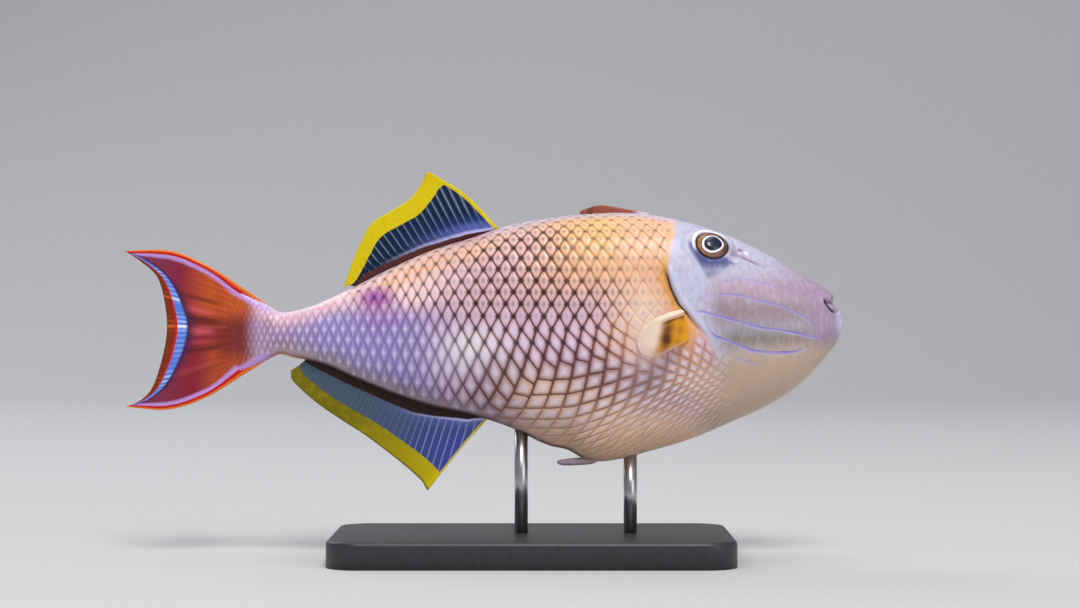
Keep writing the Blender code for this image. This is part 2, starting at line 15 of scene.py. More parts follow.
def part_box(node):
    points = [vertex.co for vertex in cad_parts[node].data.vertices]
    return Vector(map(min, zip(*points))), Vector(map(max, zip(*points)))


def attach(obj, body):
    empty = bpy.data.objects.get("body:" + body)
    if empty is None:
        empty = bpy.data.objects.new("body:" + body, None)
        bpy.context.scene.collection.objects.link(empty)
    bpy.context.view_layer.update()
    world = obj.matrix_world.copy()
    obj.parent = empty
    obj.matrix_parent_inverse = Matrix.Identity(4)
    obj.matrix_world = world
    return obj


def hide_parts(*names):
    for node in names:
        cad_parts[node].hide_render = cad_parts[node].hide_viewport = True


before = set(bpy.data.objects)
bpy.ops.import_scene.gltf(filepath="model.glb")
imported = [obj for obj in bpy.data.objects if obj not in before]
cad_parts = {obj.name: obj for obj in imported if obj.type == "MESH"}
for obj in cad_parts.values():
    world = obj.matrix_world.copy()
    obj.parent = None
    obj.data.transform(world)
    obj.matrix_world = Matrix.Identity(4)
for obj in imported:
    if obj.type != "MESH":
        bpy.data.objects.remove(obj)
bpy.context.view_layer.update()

bl_info = {
    "name": "Crosshatch triggerfish",
    "version": (1, 0, 0),
    "blender": (4, 5, 0),
    "location": "View3D > Sidebar > Triggerfish",
    "description": "Builds a still, life-size crosshatch triggerfish on a display stand",
    "category": "Add Mesh",
}

MM = 0.001

# Side, width and section of the body, as the solids have it: X and Z of the back, X and Z of
# the belly, half width, fullness above and below the widest line, rise of that line.
BODY = (
    (-97.0, 102.5, -97.0, 68.0, 0.5, 1.00, 1.00, 0.00),
    (-91.5, 100.6, -91.5, 70.2, 1.7, 1.00, 1.00, 0.00),
    (-86.0, 97.9, -86.0, 72.9, 3.3, 1.00, 1.00, 0.00),
    (-81.2, 95.5, -81.2, 75.0, 4.3, 1.00, 1.00, 0.00),
    (-76.9, 92.9, -76.9, 76.9, 4.9, 0.98, 1.00, 0.00),
    (-71.5, 93.3, -71.5, 75.7, 5.6, 0.96, 1.00, 0.00),
    (-65.4, 94.9, -65.4, 74.6, 6.6, 0.95, 1.00, 0.00),
    (-57.9, 98.0, -57.9, 72.3, 7.9, 0.95, 1.00, 0.01),
    (-50.4, 101.6, -50.4, 68.9, 9.2, 0.95, 1.00, 0.02),
    (-35.3, 109.2, -35.3, 62.6, 11.9, 0.94, 1.02, 0.04),
    (-20.3, 115.8, -20.3, 57.6, 14.3, 0.93, 1.05, 0.06),
    (-5.3, 120.6, -5.3, 54.3, 16.5, 0.92, 1.08, 0.08),
    (9.8, 125.6, 9.8, 49.5, 18.4, 0.91, 1.10, 0.10),
    (24.8, 128.3, 24.8, 42.6, 19.9, 0.90, 1.13, 0.12),
    (32.0, 129.2, 32.0, 40.8, 20.5, 0.89, 1.14, 0.13),
    (36.5, 129.6, 36.5, 38.2, 20.8, 0.88, 1.15, 0.13),
    (41.0, 129.9, 41.0, 36.9, 21.0, 0.87, 1.15, 0.13),
    (51.1, 130.2, 51.1, 37.6, 21.4, 0.85, 1.13, 0.12),
    (62.4, 129.4, 62.4, 40.6, 21.4, 0.76, 1.10, 0.10),
    (77.5, 126.3, 77.5, 45.1, 20.4, 0.66, 1.05, 0.08),
    (92.5, 121.2, 92.5, 51.4, 18.3, 0.62, 1.00, 0.05),
    (105.7, 115.0, 106.8, 57.9, 15.5, 0.70, 0.96, 0.03),
    (115.8, 109.2, 118.8, 65.8, 12.4, 0.82, 0.94, 0.02),
    (123.3, 104.6, 127.9, 75.4, 9.5, 0.84, 0.92, 0.00),
    (127.6, 102.0, 132.9, 82.2, 7.7, 0.84, 0.90, 0.00),
    (130.3, 100.1, 134.8, 87.3, 6.1, 0.84, 0.90, 0.00),
    (132.2, 97.9, 135.2, 90.3, 4.2, 0.90, 0.90, 0.00),
    (133.5, 96.0, 135.1, 92.1, 2.3, 1.00, 1.00, 0.00),
    (134.3, 94.5, 134.9, 93.5, 0.5, 1.00, 1.00, 0.00),
)
GILL_LINE = (
    (71.8, 131),
    (70.6, 121),
    (69.2, 116.2),
    (67.9, 108.0),
    (69.8, 101.5),
    (72.4, 96.0),
    (74.8, 93.3),
    (78.6, 88.4),
    (82.4, 83.9),
    (86.0, 77.5),
    (88.0, 66.0),
    (90.0, 44.0),
)
EYE = (84.9, 118.0)
EYE_HALF = (7.5, 6.6, 4.6)
EYE_PROUD = 1.7
EYE_OPENING = (6.35, 4.95)
# Lines of the cheek: their course, strength and half width.
CHEEK_LINES = (
    (((82.5, 98.3), (89.0, 99.5), (94.8, 99.1), (100.6, 97.6), (108.4, 95.5), (114.9, 93.4), (119.4, 90.8), (123.3, 87.9)), 0.85, 0.27),
    (
        ((76.0, 93.4), (80.5, 93.1), (85.7, 91.8), (91.5, 90.2), (97.4, 88.6), (103.2, 87.0), (108.4, 86.4), (114.9, 85.3))
        + ((120.0, 84.0), (123.9, 83.4), (127.2, 81.8)),
        1.0,
        0.34,
    ),
    (
        ((80.5, 89.5), (85.1, 84.4), (90.2, 82.4), (95.4, 80.2), (100.6, 78.5), (105.8, 77.9), (111.6, 77.8), (116.1, 78.2), (120.4, 79.6)),
        0.95,
        0.42,
    ),
    (((91.0, 76.6), (95.4, 75.3), (102.3, 73.1)), 0.65, 0.34),
    (((85.1, 102.5), (90.2, 104.4), (95.4, 105.1), (101.9, 104.1), (107.1, 102.5), (112.3, 101.2)), 0.35, 0.35),
)
EYE_GROOVE = ((91.4, 114.2), (94.0, 113.7), (96.9, 112.8), (101.2, 111.0), (105.2, 109.1))
NOSTRIL = (97.6, 114.6)
REAR_NOSTRIL = (95.6, 116.0)
MOUTH_LINE = ((127.5, 97.3), (128.4, 95.35), (130.0, 93.5), (132.2, 92.5))
MOUTH_NOTCH = ((128.9, 96.6), (130.6, 96.2), (136.0, 96.1))
# How far the front of the lips lies behind the solids, by height.
LIP_CUT = ((88.9, 0.0), (91.3, 0.9), (93.9, 1.3), (95.2, 2.2), (96.1, 3.1), (96.9, 1.8), (98.4, 0.5), (100.0, 0.0))

# The plates lie in rows. ROW_LINE is the height of row 0 along the body and ROW_REACH how far round
# the body each row lies from it. ROW_SQUEEZE narrows the rows above and below along the body, and
# PLATE_STEP is the width of a plate.
ROW_LINE = ((-97, 89.0), (-69, 92.1), (-54, 94.0), (-31, 95.5), (-11, 96.2), (32, 95.7), (60, 96.0), (95, 97.0))
ROW_REACH = (
    (-24, -96.0),
    (-12, -56.0),
    (-10, -49.6),
    (-8, -41.4),
    (-6, -30.7),
    (-4, -19.0),
    (-2, -9.2),
    (0, 0.0),
    (2, 8.7),
    (4, 17.4),
    (6, 25.2),
    (8, 31.6),
    (10, 37.0),
    (12, 41.6),
    (24, 66.0),
)
ROWS_EACH_WAY = 24
UPPER_SQUEEZE = ((-97, 0.40), (-82, 0.52), (-69, 0.70), (-54, 0.80), (-31, 0.88), (-11, 0.93), (5, 1.0), (95, 1.0))
LOWER_SQUEEZE = (
    (-97, 0.40),
    (-82, 0.53),
    (-69, 0.72),
    (-54, 0.82),
    (-31, 0.96),
    (-11, 1.0),
    (5, 1.05),
    (32, 1.0),
    (47, 0.88),
    (62, 0.73),
    (77, 0.59),
    (95, 0.5),
)
PLATE_STEP = ((-97, 1.5), (-84, 2.1), (-69, 3.0), (-54, 3.6), (-31, 4.1), (-15, 4.7), (-5, 5.3), (5, 5.65), (60, 5.6), (77, 5.2), (95, 4.6))
# Below this line the diamonds turn into bricks.
BRICK_LINE = ((-30, 40), (-5, 50), (8, 58), (20, 70), (30, 75), (40, 76), (52, 73), (66, 69), (95, 64))

SECOND_DORSAL_RAYS = (
    ((4.9, 125.0), (-7.1, 137.2), (-20.9, 145.7)),
    ((-2.3, 122.6), (-12.0, 134.4), (-22.0, 144.9)),
    ((-8.3, 120.8), (-16.0, 133.0), (-23.5, 141.4)),
    ((-16.5, 117.8), (-22.6, 127.1), (-28.2, 135.2)),
    ((-23.7, 115.0), (-29.3, 123.3), (-35.0, 130.9)),
    ((-31.6, 111.6), (-36.8, 119.2), (-42.3, 126.1)),
    ((-38.4, 108.6), (-42.9, 114.3), (-46.8, 118.1)),
    ((-44.4, 105.6), (-47.4, 108.4), (-50.2, 109.6)),
    ((-49.0, 102.6), (-51.2, 102.9), (-53.0, 101.6)),
)
ANAL_RAYS = (
    ((1.5, 52.9), (-8.9, 41.2), (-21.1, 25.8)),
    ((-3.8, 54.6), (-12.4, 40.8), (-22.1, 27.0)),
    ((-10.5, 56.1), (-16.4, 42.9), (-23.5, 29.4)),
    ((-17.7, 57.4), (-22.4, 45.9), (-28.2, 33.8)),
    ((-24.8, 59.1), (-29.7, 48.1), (-35.0, 39.3)),
    ((-33.1, 62.1), (-38.4, 53.4), (-44.4, 46.4)),
    ((-42.1, 65.8), (-47.8, 58.0), (-53.0, 52.0)),
    ((-51.1, 69.6), (-56.6, 62.6), (-61.3, 57.6)),
    ((-59.8, 73.6), (-64.3, 67.3), (-68.3, 63.4)),
    ((-64.6, 74.8), (-68.6, 70.4), (-72.2, 67.6)),
    ((-67.0, 75.0), (-70.0, 72.6), (-72.6, 71.0)),
)
CAUDAL_RAYS = (
    ((-81.2, 95.5), (-91.7, 102.6), (-104.2, 110.5), (-118.1, 115.9), (-135.3, 116.0)),
    ((-81.2, 94.0), (-92.5, 101.0), (-105.3, 107.4), (-118.1, 111.7), (-129.3, 112.0)),
    ((-81.2, 91.4), (-92.5, 96.6), (-104.2, 100.8), (-114.7, 103.8), (-123.0, 106.0)),
    ((-81.2, 88.0), (-92.5, 90.6), (-103.4, 92.9), (-112.8, 94.8), (-120.1, 96.3)),
    ((-81.2, 85.0), (-92.5, 85.4), (-103.0, 85.7), (-111.7, 85.9), (-119.2, 85.8)),
    ((-81.2, 81.8), (-92.5, 79.6), (-103.0, 77.7), (-112.0, 76.0), (-121.1, 74.8)),
    ((-81.2, 79.0), (-92.5, 74.1), (-103.8, 69.9), (-114.7, 66.6), (-124.6, 64.6)),
    ((-81.2, 76.7), (-91.7, 70.4), (-104.5, 64.9), (-117.3, 60.9), (-129.0, 59.8)),
    ((-81.2, 75.0), (-90.6, 69.2), (-104.2, 60.9), (-118.8, 56.2), (-134.7, 57.2)),
)
FIRST_DORSAL_RAYS = (
    ((61.5, 128.6), (62.0, 129.4), (62.4, 130.0)),
    ((55.0, 129.2), (55.2, 130.4), (55.4, 131.2)),
    ((48.0, 129.4), (47.8, 131.2), (47.2, 132.7)),
    ((42.0, 129.2), (42.4, 131.4), (42.6, 133.0)),
    ((39.0, 129.0), (39.2, 130.8), (39.2, 132.0)),
    ((36.0, 128.8), (36.2, 130.0), (36.2, 130.9)),
)
PECTORAL_RAYS = (
    ((73.0, 20.0, 94.0), (67.4, 30.6, 92.6), (60.5, 37.0, 89.6)),
    ((74.0, 20.0, 91.4), (66.4, 31.2, 89.2), (57.4, 37.6, 85.6)),
    ((75.0, 20.0, 88.6), (65.8, 30.6, 85.6), (55.8, 36.2, 81.6)),
    ((75.8, 19.8, 85.6), (66.4, 29.0, 81.8), (57.6, 32.8, 77.6)),
    ((76.4, 19.5, 82.6), (69.0, 26.4, 79.0), (62.0, 28.8, 75.6)),
)
PELVIC_ROWS = (
    (43.5, 37.6, 0.5),
    (41.0, 37.0, 1.1),
    (38.0, 36.8, 1.35),
    (35.0, 36.7, 1.4),
    (32.4, 36.5, 1.32),
    (30.0, 36.4, 1.15),
    (28.4, 36.4, 0.9),
    (27.4, 36.5, 0.4),
)


def linear(code):
    """A six-figure sRGB hex colour as linear red, green and blue."""
    parts = [int(code[i : i + 2], 16) / 255 for i in (0, 2, 4)]
    return np.array([p / 12.92 if p <= 0.04045 else ((p + 0.055) / 1.055) ** 2.4 for p in parts])


def spline(knots, values, at):
    """A smooth curve through the values at the knots, read at each place in at."""
    knots = np.asarray(knots, float)
    values = np.asarray(values, float)
    at = np.asarray(at, float)
    column = (-1,) + (1,) * (values.ndim - 1)
    step = np.diff(knots)
    rise = np.diff(values, axis=0) / step.reshape(column)
    share = (step[:-1] / (step[:-1] + step[1:])).reshape(column)
    slope = np.empty_like(values)
    slope[1:-1] = rise[:-1] * (1 - share) + rise[1:] * share
    slope[0] = rise[0]
    slope[-1] = rise[-1]
    index = np.clip(np.searchsorted(knots, at, side="right") - 1, 0, len(knots) - 2)
    more = (...,) + (None,) * (values.ndim - 1)
    wide = step[index][more]
    u = np.clip((at - knots[index]) / step[index], 0.0, 1.0)[more]
    return (
        values[index] * (1 + 2 * u) * (1 - u) ** 2
        + slope[index] * wide * u * (1 - u) ** 2
        + values[index + 1] * u * u * (3 - 2 * u)
        + slope[index + 1] * wide * u * u * (u - 1)
    )


BODY_KNOTS = [(row[0] + row[2]) / 2 for row in BODY]


def body(s, t):
    """Points of the right side: s runs along the body, t from the belly, -pi/2, to the back."""
    s, t = np.broadcast_arrays(np.asarray(s, float), np.asarray(t, float))
    row = spline(BODY_KNOTS, BODY, s)
    back_x, back_z, low_x, low_z, half, above, below, lift = np.moveaxis(row, -1, 0)
    up = np.sin(t)
    across = np.clip(np.cos(t), 0.0, 1.0)
    height = up + lift * across**2
    full = below + (above - below) * (0.5 + 0.5 * up)
    x = (back_x + low_x) / 2 + height * (back_x - low_x) / 2
    z = (back_z + low_z) / 2 + height * (back_z - low_z) / 2
    return np.stack([x, -half * across**full, z], axis=-1)


def normals(s, t):
    """Outward directions of the right side."""
    edge = 0.5 * math.pi - 0.02
    held = np.clip(t, -edge, edge)
    s = np.clip(s, BODY_KNOTS[0] + 0.1, BODY_KNOTS[-1] - 0.1)
    out = np.cross(body(s + 0.05, held) - body(s - 0.05, held), body(s, held + 0.01) - body(s, held - 0.01))
    return out / np.maximum(np.linalg.norm(out, axis=-1, keepdims=True), 1e-9)


def smooth_step(low, high, value):
    u = np.clip((value - low) / (high - low), 0.0, 1.0)
    return u * u * (3 - 2 * u)


def hump(distance, width):
    return np.exp(-((distance / width) ** 2))


def spot(x, z, middle_x, middle_z, half_x, half_z):
    return np.exp(-(((x - middle_x) / half_x) ** 2) - ((z - middle_z) / half_z) ** 2)


def line_distance(x, z, line):
    """How far each place is, in side view, from a line through the given places."""
    best = np.full(np.shape(x), 1e9)
    for (ax, az), (bx, bz) in zip(line[:-1], line[1:]):
        wide = (bx - ax) ** 2 + (bz - az) ** 2
        share = np.clip(((x - ax) * (bx - ax) + (z - az) * (bz - az)) / wide, 0.0, 1.0)
        best = np.minimum(best, np.hypot(x - ax - share * (bx - ax), z - az - share * (bz - az)))
    return best


def curve_distance(x, z, places):
    """How far each place is, in side view, from a smooth curve through the given places."""
    places = np.asarray(places, float)
    smooth = spline(np.arange(len(places)), places, np.linspace(0, len(places) - 1, 6 * len(places)))
    return line_distance(x, z, smooth)


def behind_gill(x, z):
    """How far a place lies behind the edge of the gill cover."""
    line = GILL_LINE[::-1]
    return np.interp(z, [place[1] for place in line], [place[0] for place in line]) - x


def outline_room(x, z):
    """Distance in side view to the back and to the belly."""
    row = spline(BODY_KNOTS, BODY, x)
    return row[..., 1] - z, z - row[..., 3]


def eye_frame():
    """Middle of the right eye's opening and its directions forwards, upwards and outwards."""
    t = np.linspace(0.0, math.pi / 2, 361)
    points = body(np.full_like(t, EYE[0]), t)
    found = float(np.interp(EYE[1], points[:, 2], t))
    out = normals(EYE[0], found)
    forward = np.array((1.0, 0.0, 0.0))
    forward = forward - out * forward.dot(out)
    forward /= np.linalg.norm(forward)
    upward = np.cross(forward, out)
    if upward[2] < 0:
        upward = -upward
    return body(EYE[0], found), forward, upward, out


def eye_reach(points):
    """How far points lie from the middle of the right eye: 1 at the edge of its opening."""
    middle, forward, upward, out = eye_frame()
    offset = points - middle
    return np.hypot(offset @ forward / EYE_OPENING[0], offset @ upward * upward[2] / EYE_OPENING[1])


def plated(x, z):
    """1 where the body carries scale plates, 0 on the head and round the pectoral fin."""
    behind = behind_gill(x, z)
    low_front = smooth_step(80, 75, z) * smooth_step(93, 84, x) * smooth_step(46, 53, z)
    upper = smooth_step(0.2, 2.6, behind)
    around_fin = smooth_step(0.8, 1.5, np.hypot((x - 73.0) / 6.0, (z - 88.0) / 8.0))
    smooth_patch = 1 - 0.5 * spot(x, z, 64, 98, 9, 11)
    back, belly = outline_room(x, z)
    bare = smooth_step(0.5, 5.0, belly) + smooth_step(0, 14, x)
    return np.maximum(upper, low_front) * around_fin * smooth_patch * np.clip(bare, 0, 1)


def mix(base, colour, share):
    return base + (linear(colour) - base) * np.clip(share, 0.0, 1.0)[..., None]


def line_strength(x, z):
    """How dark the lines between the plates are."""
    strength = 1.0 - 0.5 * smooth_step(-10, -45, x) - 0.3 * smooth_step(99, 88, z) * smooth_step(0, -30, x)
    strength = strength - 0.3 * spot(x, z, -8, 76, 15, 10)
    strength = strength - 0.7 * smooth_step(63, 49, z) - 0.8 * spot(x, z, 63, 98, 14, 13)
    strength = strength - 0.8 * smooth_step(24, 48, x) * smooth_step(102, 112, z) - 0.8 * spot(x, z, 61, 86, 7.5, 9)
    strength = strength - 0.75 * smooth_step(44, 62, x) * smooth_step(86, 74, z) - 0.25 * smooth_step(-78, -90, x)
    strength = strength - 0.3 * smooth_step(10, -20, x) * smooth_step(96, 106, z) - 0.5 * smooth_step(72, 88, x)
    back, belly = outline_room(x, z)
    return np.clip(strength, 0.08, 1.0) * smooth_step(0.5, 6.0, back) * smooth_step(0.5, 7.0, belly)


def node_share(x, z):
    """How dark the nodes are where the lines between the plates cross."""
    share = smooth_step(60, 76, z) * smooth_step(-72, -58, x) * smooth_step(84, 68, x) * plated(x, z)
    upper = smooth_step(90, 98, z) * smooth_step(-60, -45, x)
    strength = np.maximum(line_strength(x, z), 0.9 * upper) * (1 - 0.6 * smooth_step(-5, -35, x) * smooth_step(98, 88, z))
    return share * strength * (1 - 0.8 * brick_share(x, z)) * (1 - 0.6 * spot(x, z, 62, 95, 13, 13))


def node_size(x, z):
    """Radius of the dark nodes: largest below the back, smallest where the side turns gold."""
    return 0.85 + 0.22 * spot(x, z, 20, 108, 30, 15) - 0.4 * smooth_step(40, 58, x) * smooth_step(102, 114, z)


def line_tone(x, z, tones):
    """Colour of the lines between the plates: maroon, violet behind, brown on the belly."""
    tone = np.broadcast_to(linear(tones.line), (*np.shape(x), 3)).copy()
    tone = mix(tone, tones.rear_line, 0.9 * smooth_step(5, -30, x) * smooth_step(98, 84, z))
    tone = mix(tone, tones.low_line, smooth_step(74, 56, z) * smooth_step(-5, 20, x))
    tone = mix(tone, tones.tail_dark_and_fold_shade, smooth_step(-80, -90, x))
    tone = mix(tone, tones.rust_line, smooth_step(50, 64, x) * smooth_step(76, 84, z))
    tone = mix(tone, tones.rust_line, 0.75 * smooth_step(18, 38, x) * smooth_step(98, 108, z))
    tone = mix(tone, tones.rust_line, 0.7 * spot(x, z, 52, 84, 10, 10))
    return mix(tone, tones.rust_line, 0.8 * smooth_step(50, 70, x) * smooth_step(88, 76, z))


def brick_share(x, z):
    """0 where the plates are diamonds, 1 where they are bricks."""
    line = np.interp(x, *zip(*BRICK_LINE))
    return smooth_step(7.0, -7.0, z - line)


def markings(x, z, tones):
    """Colour of the skin and plates at a place in side view, with painted shade and highlights in places."""
    x, z = np.asarray(x, float), np.asarray(z, float)
    back, belly = outline_room(x, z)
    base = np.broadcast_to(linear(tones.flank), (*x.shape, 3)).copy()
    base = mix(base, tones.rear, smooth_step(2, -34, x) * smooth_step(104, 88, z))
    base = mix(base, tones.rear_top, smooth_step(0, -30, x) * smooth_step(90, 100, z))
    base = mix(base, tones.pale_flank, 0.9 * spot(x, z, -4, 76, 12, 10))
    base = mix(base, tones.pale_cream, 0.7 * spot(x, z, -5, 81, 9, 5))
    base = mix(base, tones.peach, smooth_step(0, 34, x) * smooth_step(92, 108, z))
    base = mix(base, tones.gold, smooth_step(14, 44, x) * smooth_step(106, 120, z))
    base = mix(base, tones.peach, 0.9 * smooth_step(40, 58, x) * smooth_step(80, 92, z))
    base = mix(base, tones.back_orange, 0.9 * hump(back - 5.5, 4.5) * smooth_step(-46, -36, x) * smooth_step(20, 0, x))
    low = smooth_step(78, 58, z + 0.28 * (x - 30))
    base = mix(base, tones.low_flank, 0.9 * smooth_step(-20, 6, x) * smooth_step(82, 66, z))
    base = mix(base, tones.belly, smooth_step(0, 24, x) * np.maximum(low, smooth_step(58, 46, z)))
    base = mix(base, tones.low_flank, 0.5 * smooth_step(52, 66, x) * smooth_step(84, 76, z) * smooth_step(60, 70, z))
    # Painted shade low on the belly: the low-flank colour laid over it.
    base = mix(base, tones.low_flank, 0.4 * spot(x, z, 28, 53, 17, 7))
    base = mix(base, tones.chin, smooth_step(74, 88, x) * smooth_step(80, 62, z))
    base = mix(base, tones.belly, 0.6 * spot(x, z, 78, 67, 11, 8))
    base = mix(base, tones.peach, 0.75 * spot(x, z, 51, 83, 9, 9))
    base = mix(base, tones.stem, 0.9 * smooth_step(-58, -82, x))
    base = mix(base, tones.stem_pink, 0.8 * smooth_step(-44, -62, x) * smooth_step(9, 2, back))
    base = mix(base, tones.low_grey, 0.85 * smooth_step(9, 1.5, belly) * smooth_step(12, -14, x))
    scaled = smooth_step(-84, -91, x)
    base = mix(base, tones.tail_scales, scaled)
    base = mix(base, tones.tail_orange, scaled * (0.85 * smooth_step(87, 95, z) + 0.5 * smooth_step(80, 73, z)))
    inside = np.minimum(back, belly) / np.interp(x, (-97, -84), (2.2, 4.2))
    base = mix(base, tones.tail_violet, smooth_step(-76, -84, x) * smooth_step(1.1, 0.55, inside))
    base = mix(base, tones.magenta, 0.95 * spot(x, z, -40, 98, 6.5, 3.4))
    base = mix(base, tones.magenta, 0.45 * spot(x, z, -38, 91, 8, 5))
    base = mix(base, tones.cream, 0.95 * spot(x, z, 60.5, 86, 7.5, 9.5))
    base = mix(base, tones.cream, 0.45 * spot(x, z, 57, 96, 9, 8))
    # Painted highlight: a pale band along the top edge of the back, where light from above catches it.
    base = mix(base, tones.rim, 0.75 * smooth_step(2.6, 0.8, back) * smooth_step(-6, 12, x))
    base = mix(base, tones.rim, 0.6 * smooth_step(1.6, 0.4, back) * smooth_step(-20, -40, x))
    base = mix(base, tones.keel, 0.8 * smooth_step(1.8, 0.3, belly) * smooth_step(-82, -76, x) * smooth_step(44, 34, x))
    behind = behind_gill(x, z)
    base = mix(base, tones.gold_deep, 0.8 * hump(behind - 1.0, 3.4) * smooth_step(86, 94, z) * smooth_step(119, 108, z))
    base = mix(base, tones.rust, 0.6 * hump(behind - 0.5, 1.6) * smooth_step(84, 90, z) * smooth_step(112, 104, z))
    base = mix(base, tones.gold_deep, spot(x, z, 73.5, 85.5, 5.0, 7.5))
    # Painted shadow under the pectoral fin.
    base = mix(base, tones.fin_pocket_shadow, 0.9 * spot(x, z, 69.5, 84.5, 2.4, 3.4))
    base = mix(base, tones.gold_deep, 0.35 * spot(x, z, 77, 76, 5, 6))
    base = mix(base, tones.rust_line, 0.9 * smooth_step(1.5, 0.4, belly) * hump(x + 74, 7))
    waver = 0.15 * np.sin(z * 1.3) + 0.08 * np.sin(z * 2.9 + 1)
    head = smooth_step(0.9, -0.9, behind + waver) * smooth_step(60, 76, z + 0.4 * (x - 86))
    face = np.broadcast_to(linear(tones.head), base.shape).copy()
    face = mix(face, tones.high_cheek, 0.85 * smooth_step(81, 88, x) * hump(z - 101.0, 6.0))
    face = mix(face, tones.cheek, 0.9 * smooth_step(80, 88, x) * hump(z - 93.0, 6.5))
    face = mix(face, tones.low_cheek, 0.9 * smooth_step(83, 93, x) * hump(z - 82.5, 5.0))
    face = mix(face, tones.chin, smooth_step(84, 74, z - 0.12 * (x - 100)) * smooth_step(80, 92, x))
    face = mix(face, tones.snout, 0.85 * smooth_step(116, 127, x) * smooth_step(76, 86, z))
    face = mix(face, tones.snout, 0.5 * smooth_step(100, 118, x) * smooth_step(96, 102, z))
    face = mix(face, tones.nape, 0.7 * smooth_step(7, 0, back) * smooth_step(116, 84, x))
    around = np.hypot((x - EYE[0]) / EYE_OPENING[0], (z - EYE[1]) / EYE_OPENING[1])
    shaded = painted_shade_under_eye(x, z)
    # Painted shade under the eye, deepest next to its rim.
    face = mix(face, tones.painted_shade_under_eye, 0.95 * shaded)
    face = mix(face, tones.under_eye_shadow, 0.95 * shaded * hump(around - 1.1, 0.2))
    face = mix(face, tones.snout, 0.75 * spot(x, z, 93.4, 115.2, 3.0, 2.2))
    # Pale lips at the front of the snout: partly their own colour, partly a painted highlight along the front edge.
    face = mix(face, tones.lip_and_highlight, 0.9 * smooth_step(130.5, 133.8, x) * smooth_step(80, 90, z))
    return base + (face - base) * head[..., None]


def painted_shade_under_eye(x, z):
    """1 in the painted shade under the eye: a blue patch that narrows downwards and backwards."""
    dx, dz = x - EYE[0], z - EYE[1]
    rear = (2 * (dx + 8.5) + dz - 0.4) / 2.24
    front = (2 * (dz + 6.8) - dx + 9.2) / 2.24
    top = dz + 0.45 * dx + 3.4
    sides = smooth_step(-1.5, 0.9, rear) * smooth_step(-1.5, 0.9, front)
    return sides * smooth_step(1.4, -0.4, top) * (1 - 0.35 * smooth_step(-6.0, -10.0, dz))


def signed_line(x, z, places):
    """Distance from a smooth line, negative below it, and 1 along it that fades to 0 at its ends."""
    places = np.asarray(places, float)
    smooth = spline(np.arange(len(places)), places, np.linspace(0, len(places) - 1, 8 * len(places)))
    away = line_distance(x, z, smooth)
    above = np.sign(z - np.interp(x, smooth[:, 0], smooth[:, 1]))
    inside = smooth_step(places[0, 0], places[0, 0] + 6.0, x) * smooth_step(places[-1, 0], places[-1, 0] - 4.0, x)
    return away * above, inside


def fine_lines(x, z, around):
    """Fields that the head's shader draws its thin lines from."""
    nearest = np.full(np.shape(x), 50.0)
    strength = np.zeros(np.shape(x))
    for places, strong, half in CHEEK_LINES:
        wiggled = z + 0.07 * np.sin(0.9 * x) + 0.04 * np.sin(1.9 * x + 1)
        away, inside = signed_line(x, wiggled, places)
        away = away * 0.5 / half
        inside = inside * smooth_step(1.9, 1.3, np.abs(away)) * (0.85 + 0.15 * np.sin(0.5 * x + 20 * half))
        closer = np.abs(away) < np.abs(nearest)
        nearest = np.where(closer, away, nearest)
        strength = np.where(closer, strong * inside, strength)
    groove, along = signed_line(x, z, EYE_GROOVE)
    # Distance to the gap of the mouth and its notch, where the painted shadow lies.
    mouth = curve_distance(x, z, MOUTH_LINE) + 0.35 * smooth_step(130.5, 132.6, x)
    mouth = np.minimum(mouth, line_distance(x, z, MOUTH_NOTCH) + 0.18)
    # Where the painted highlight on the upper lid lies: above the eye, fading towards the snout.
    above = smooth_step(-1.5, 2.5, z - EYE[1] - 0.3 * (x - EYE[0])) * (1 - 0.65 * smooth_step(0.5, 6.5, x - EYE[0]))
    behind = behind_gill(x, z)
    # Heights where the painted shade of the gill slit lies.
    slit_shade = smooth_step(88, 93, z) * smooth_step(110, 105, z)
    return {
        "cheek_line": nearest,
        "cheek_strength": strength,
        "groove": groove,
        "groove_strength": along * 0.8,
        "mouth": mouth,
        "nostril": np.hypot((x - NOSTRIL[0]) / 1.6, z - NOSTRIL[1] + 0.35 * (x - NOSTRIL[0])),
        "rear_nostril": np.hypot((x - REAR_NOSTRIL[0]) / 1.5, z - REAR_NOSTRIL[1] + 0.3 * (x - REAR_NOSTRIL[0])),
        "around_eye": (around - 1) * 5.0,
        "lid": above,
        "behind_gill": behind,
        "slit_shade": slit_shade,
        "bare": smooth_step(0.0, -3.0, behind) * smooth_step(70, 82, z),
    }


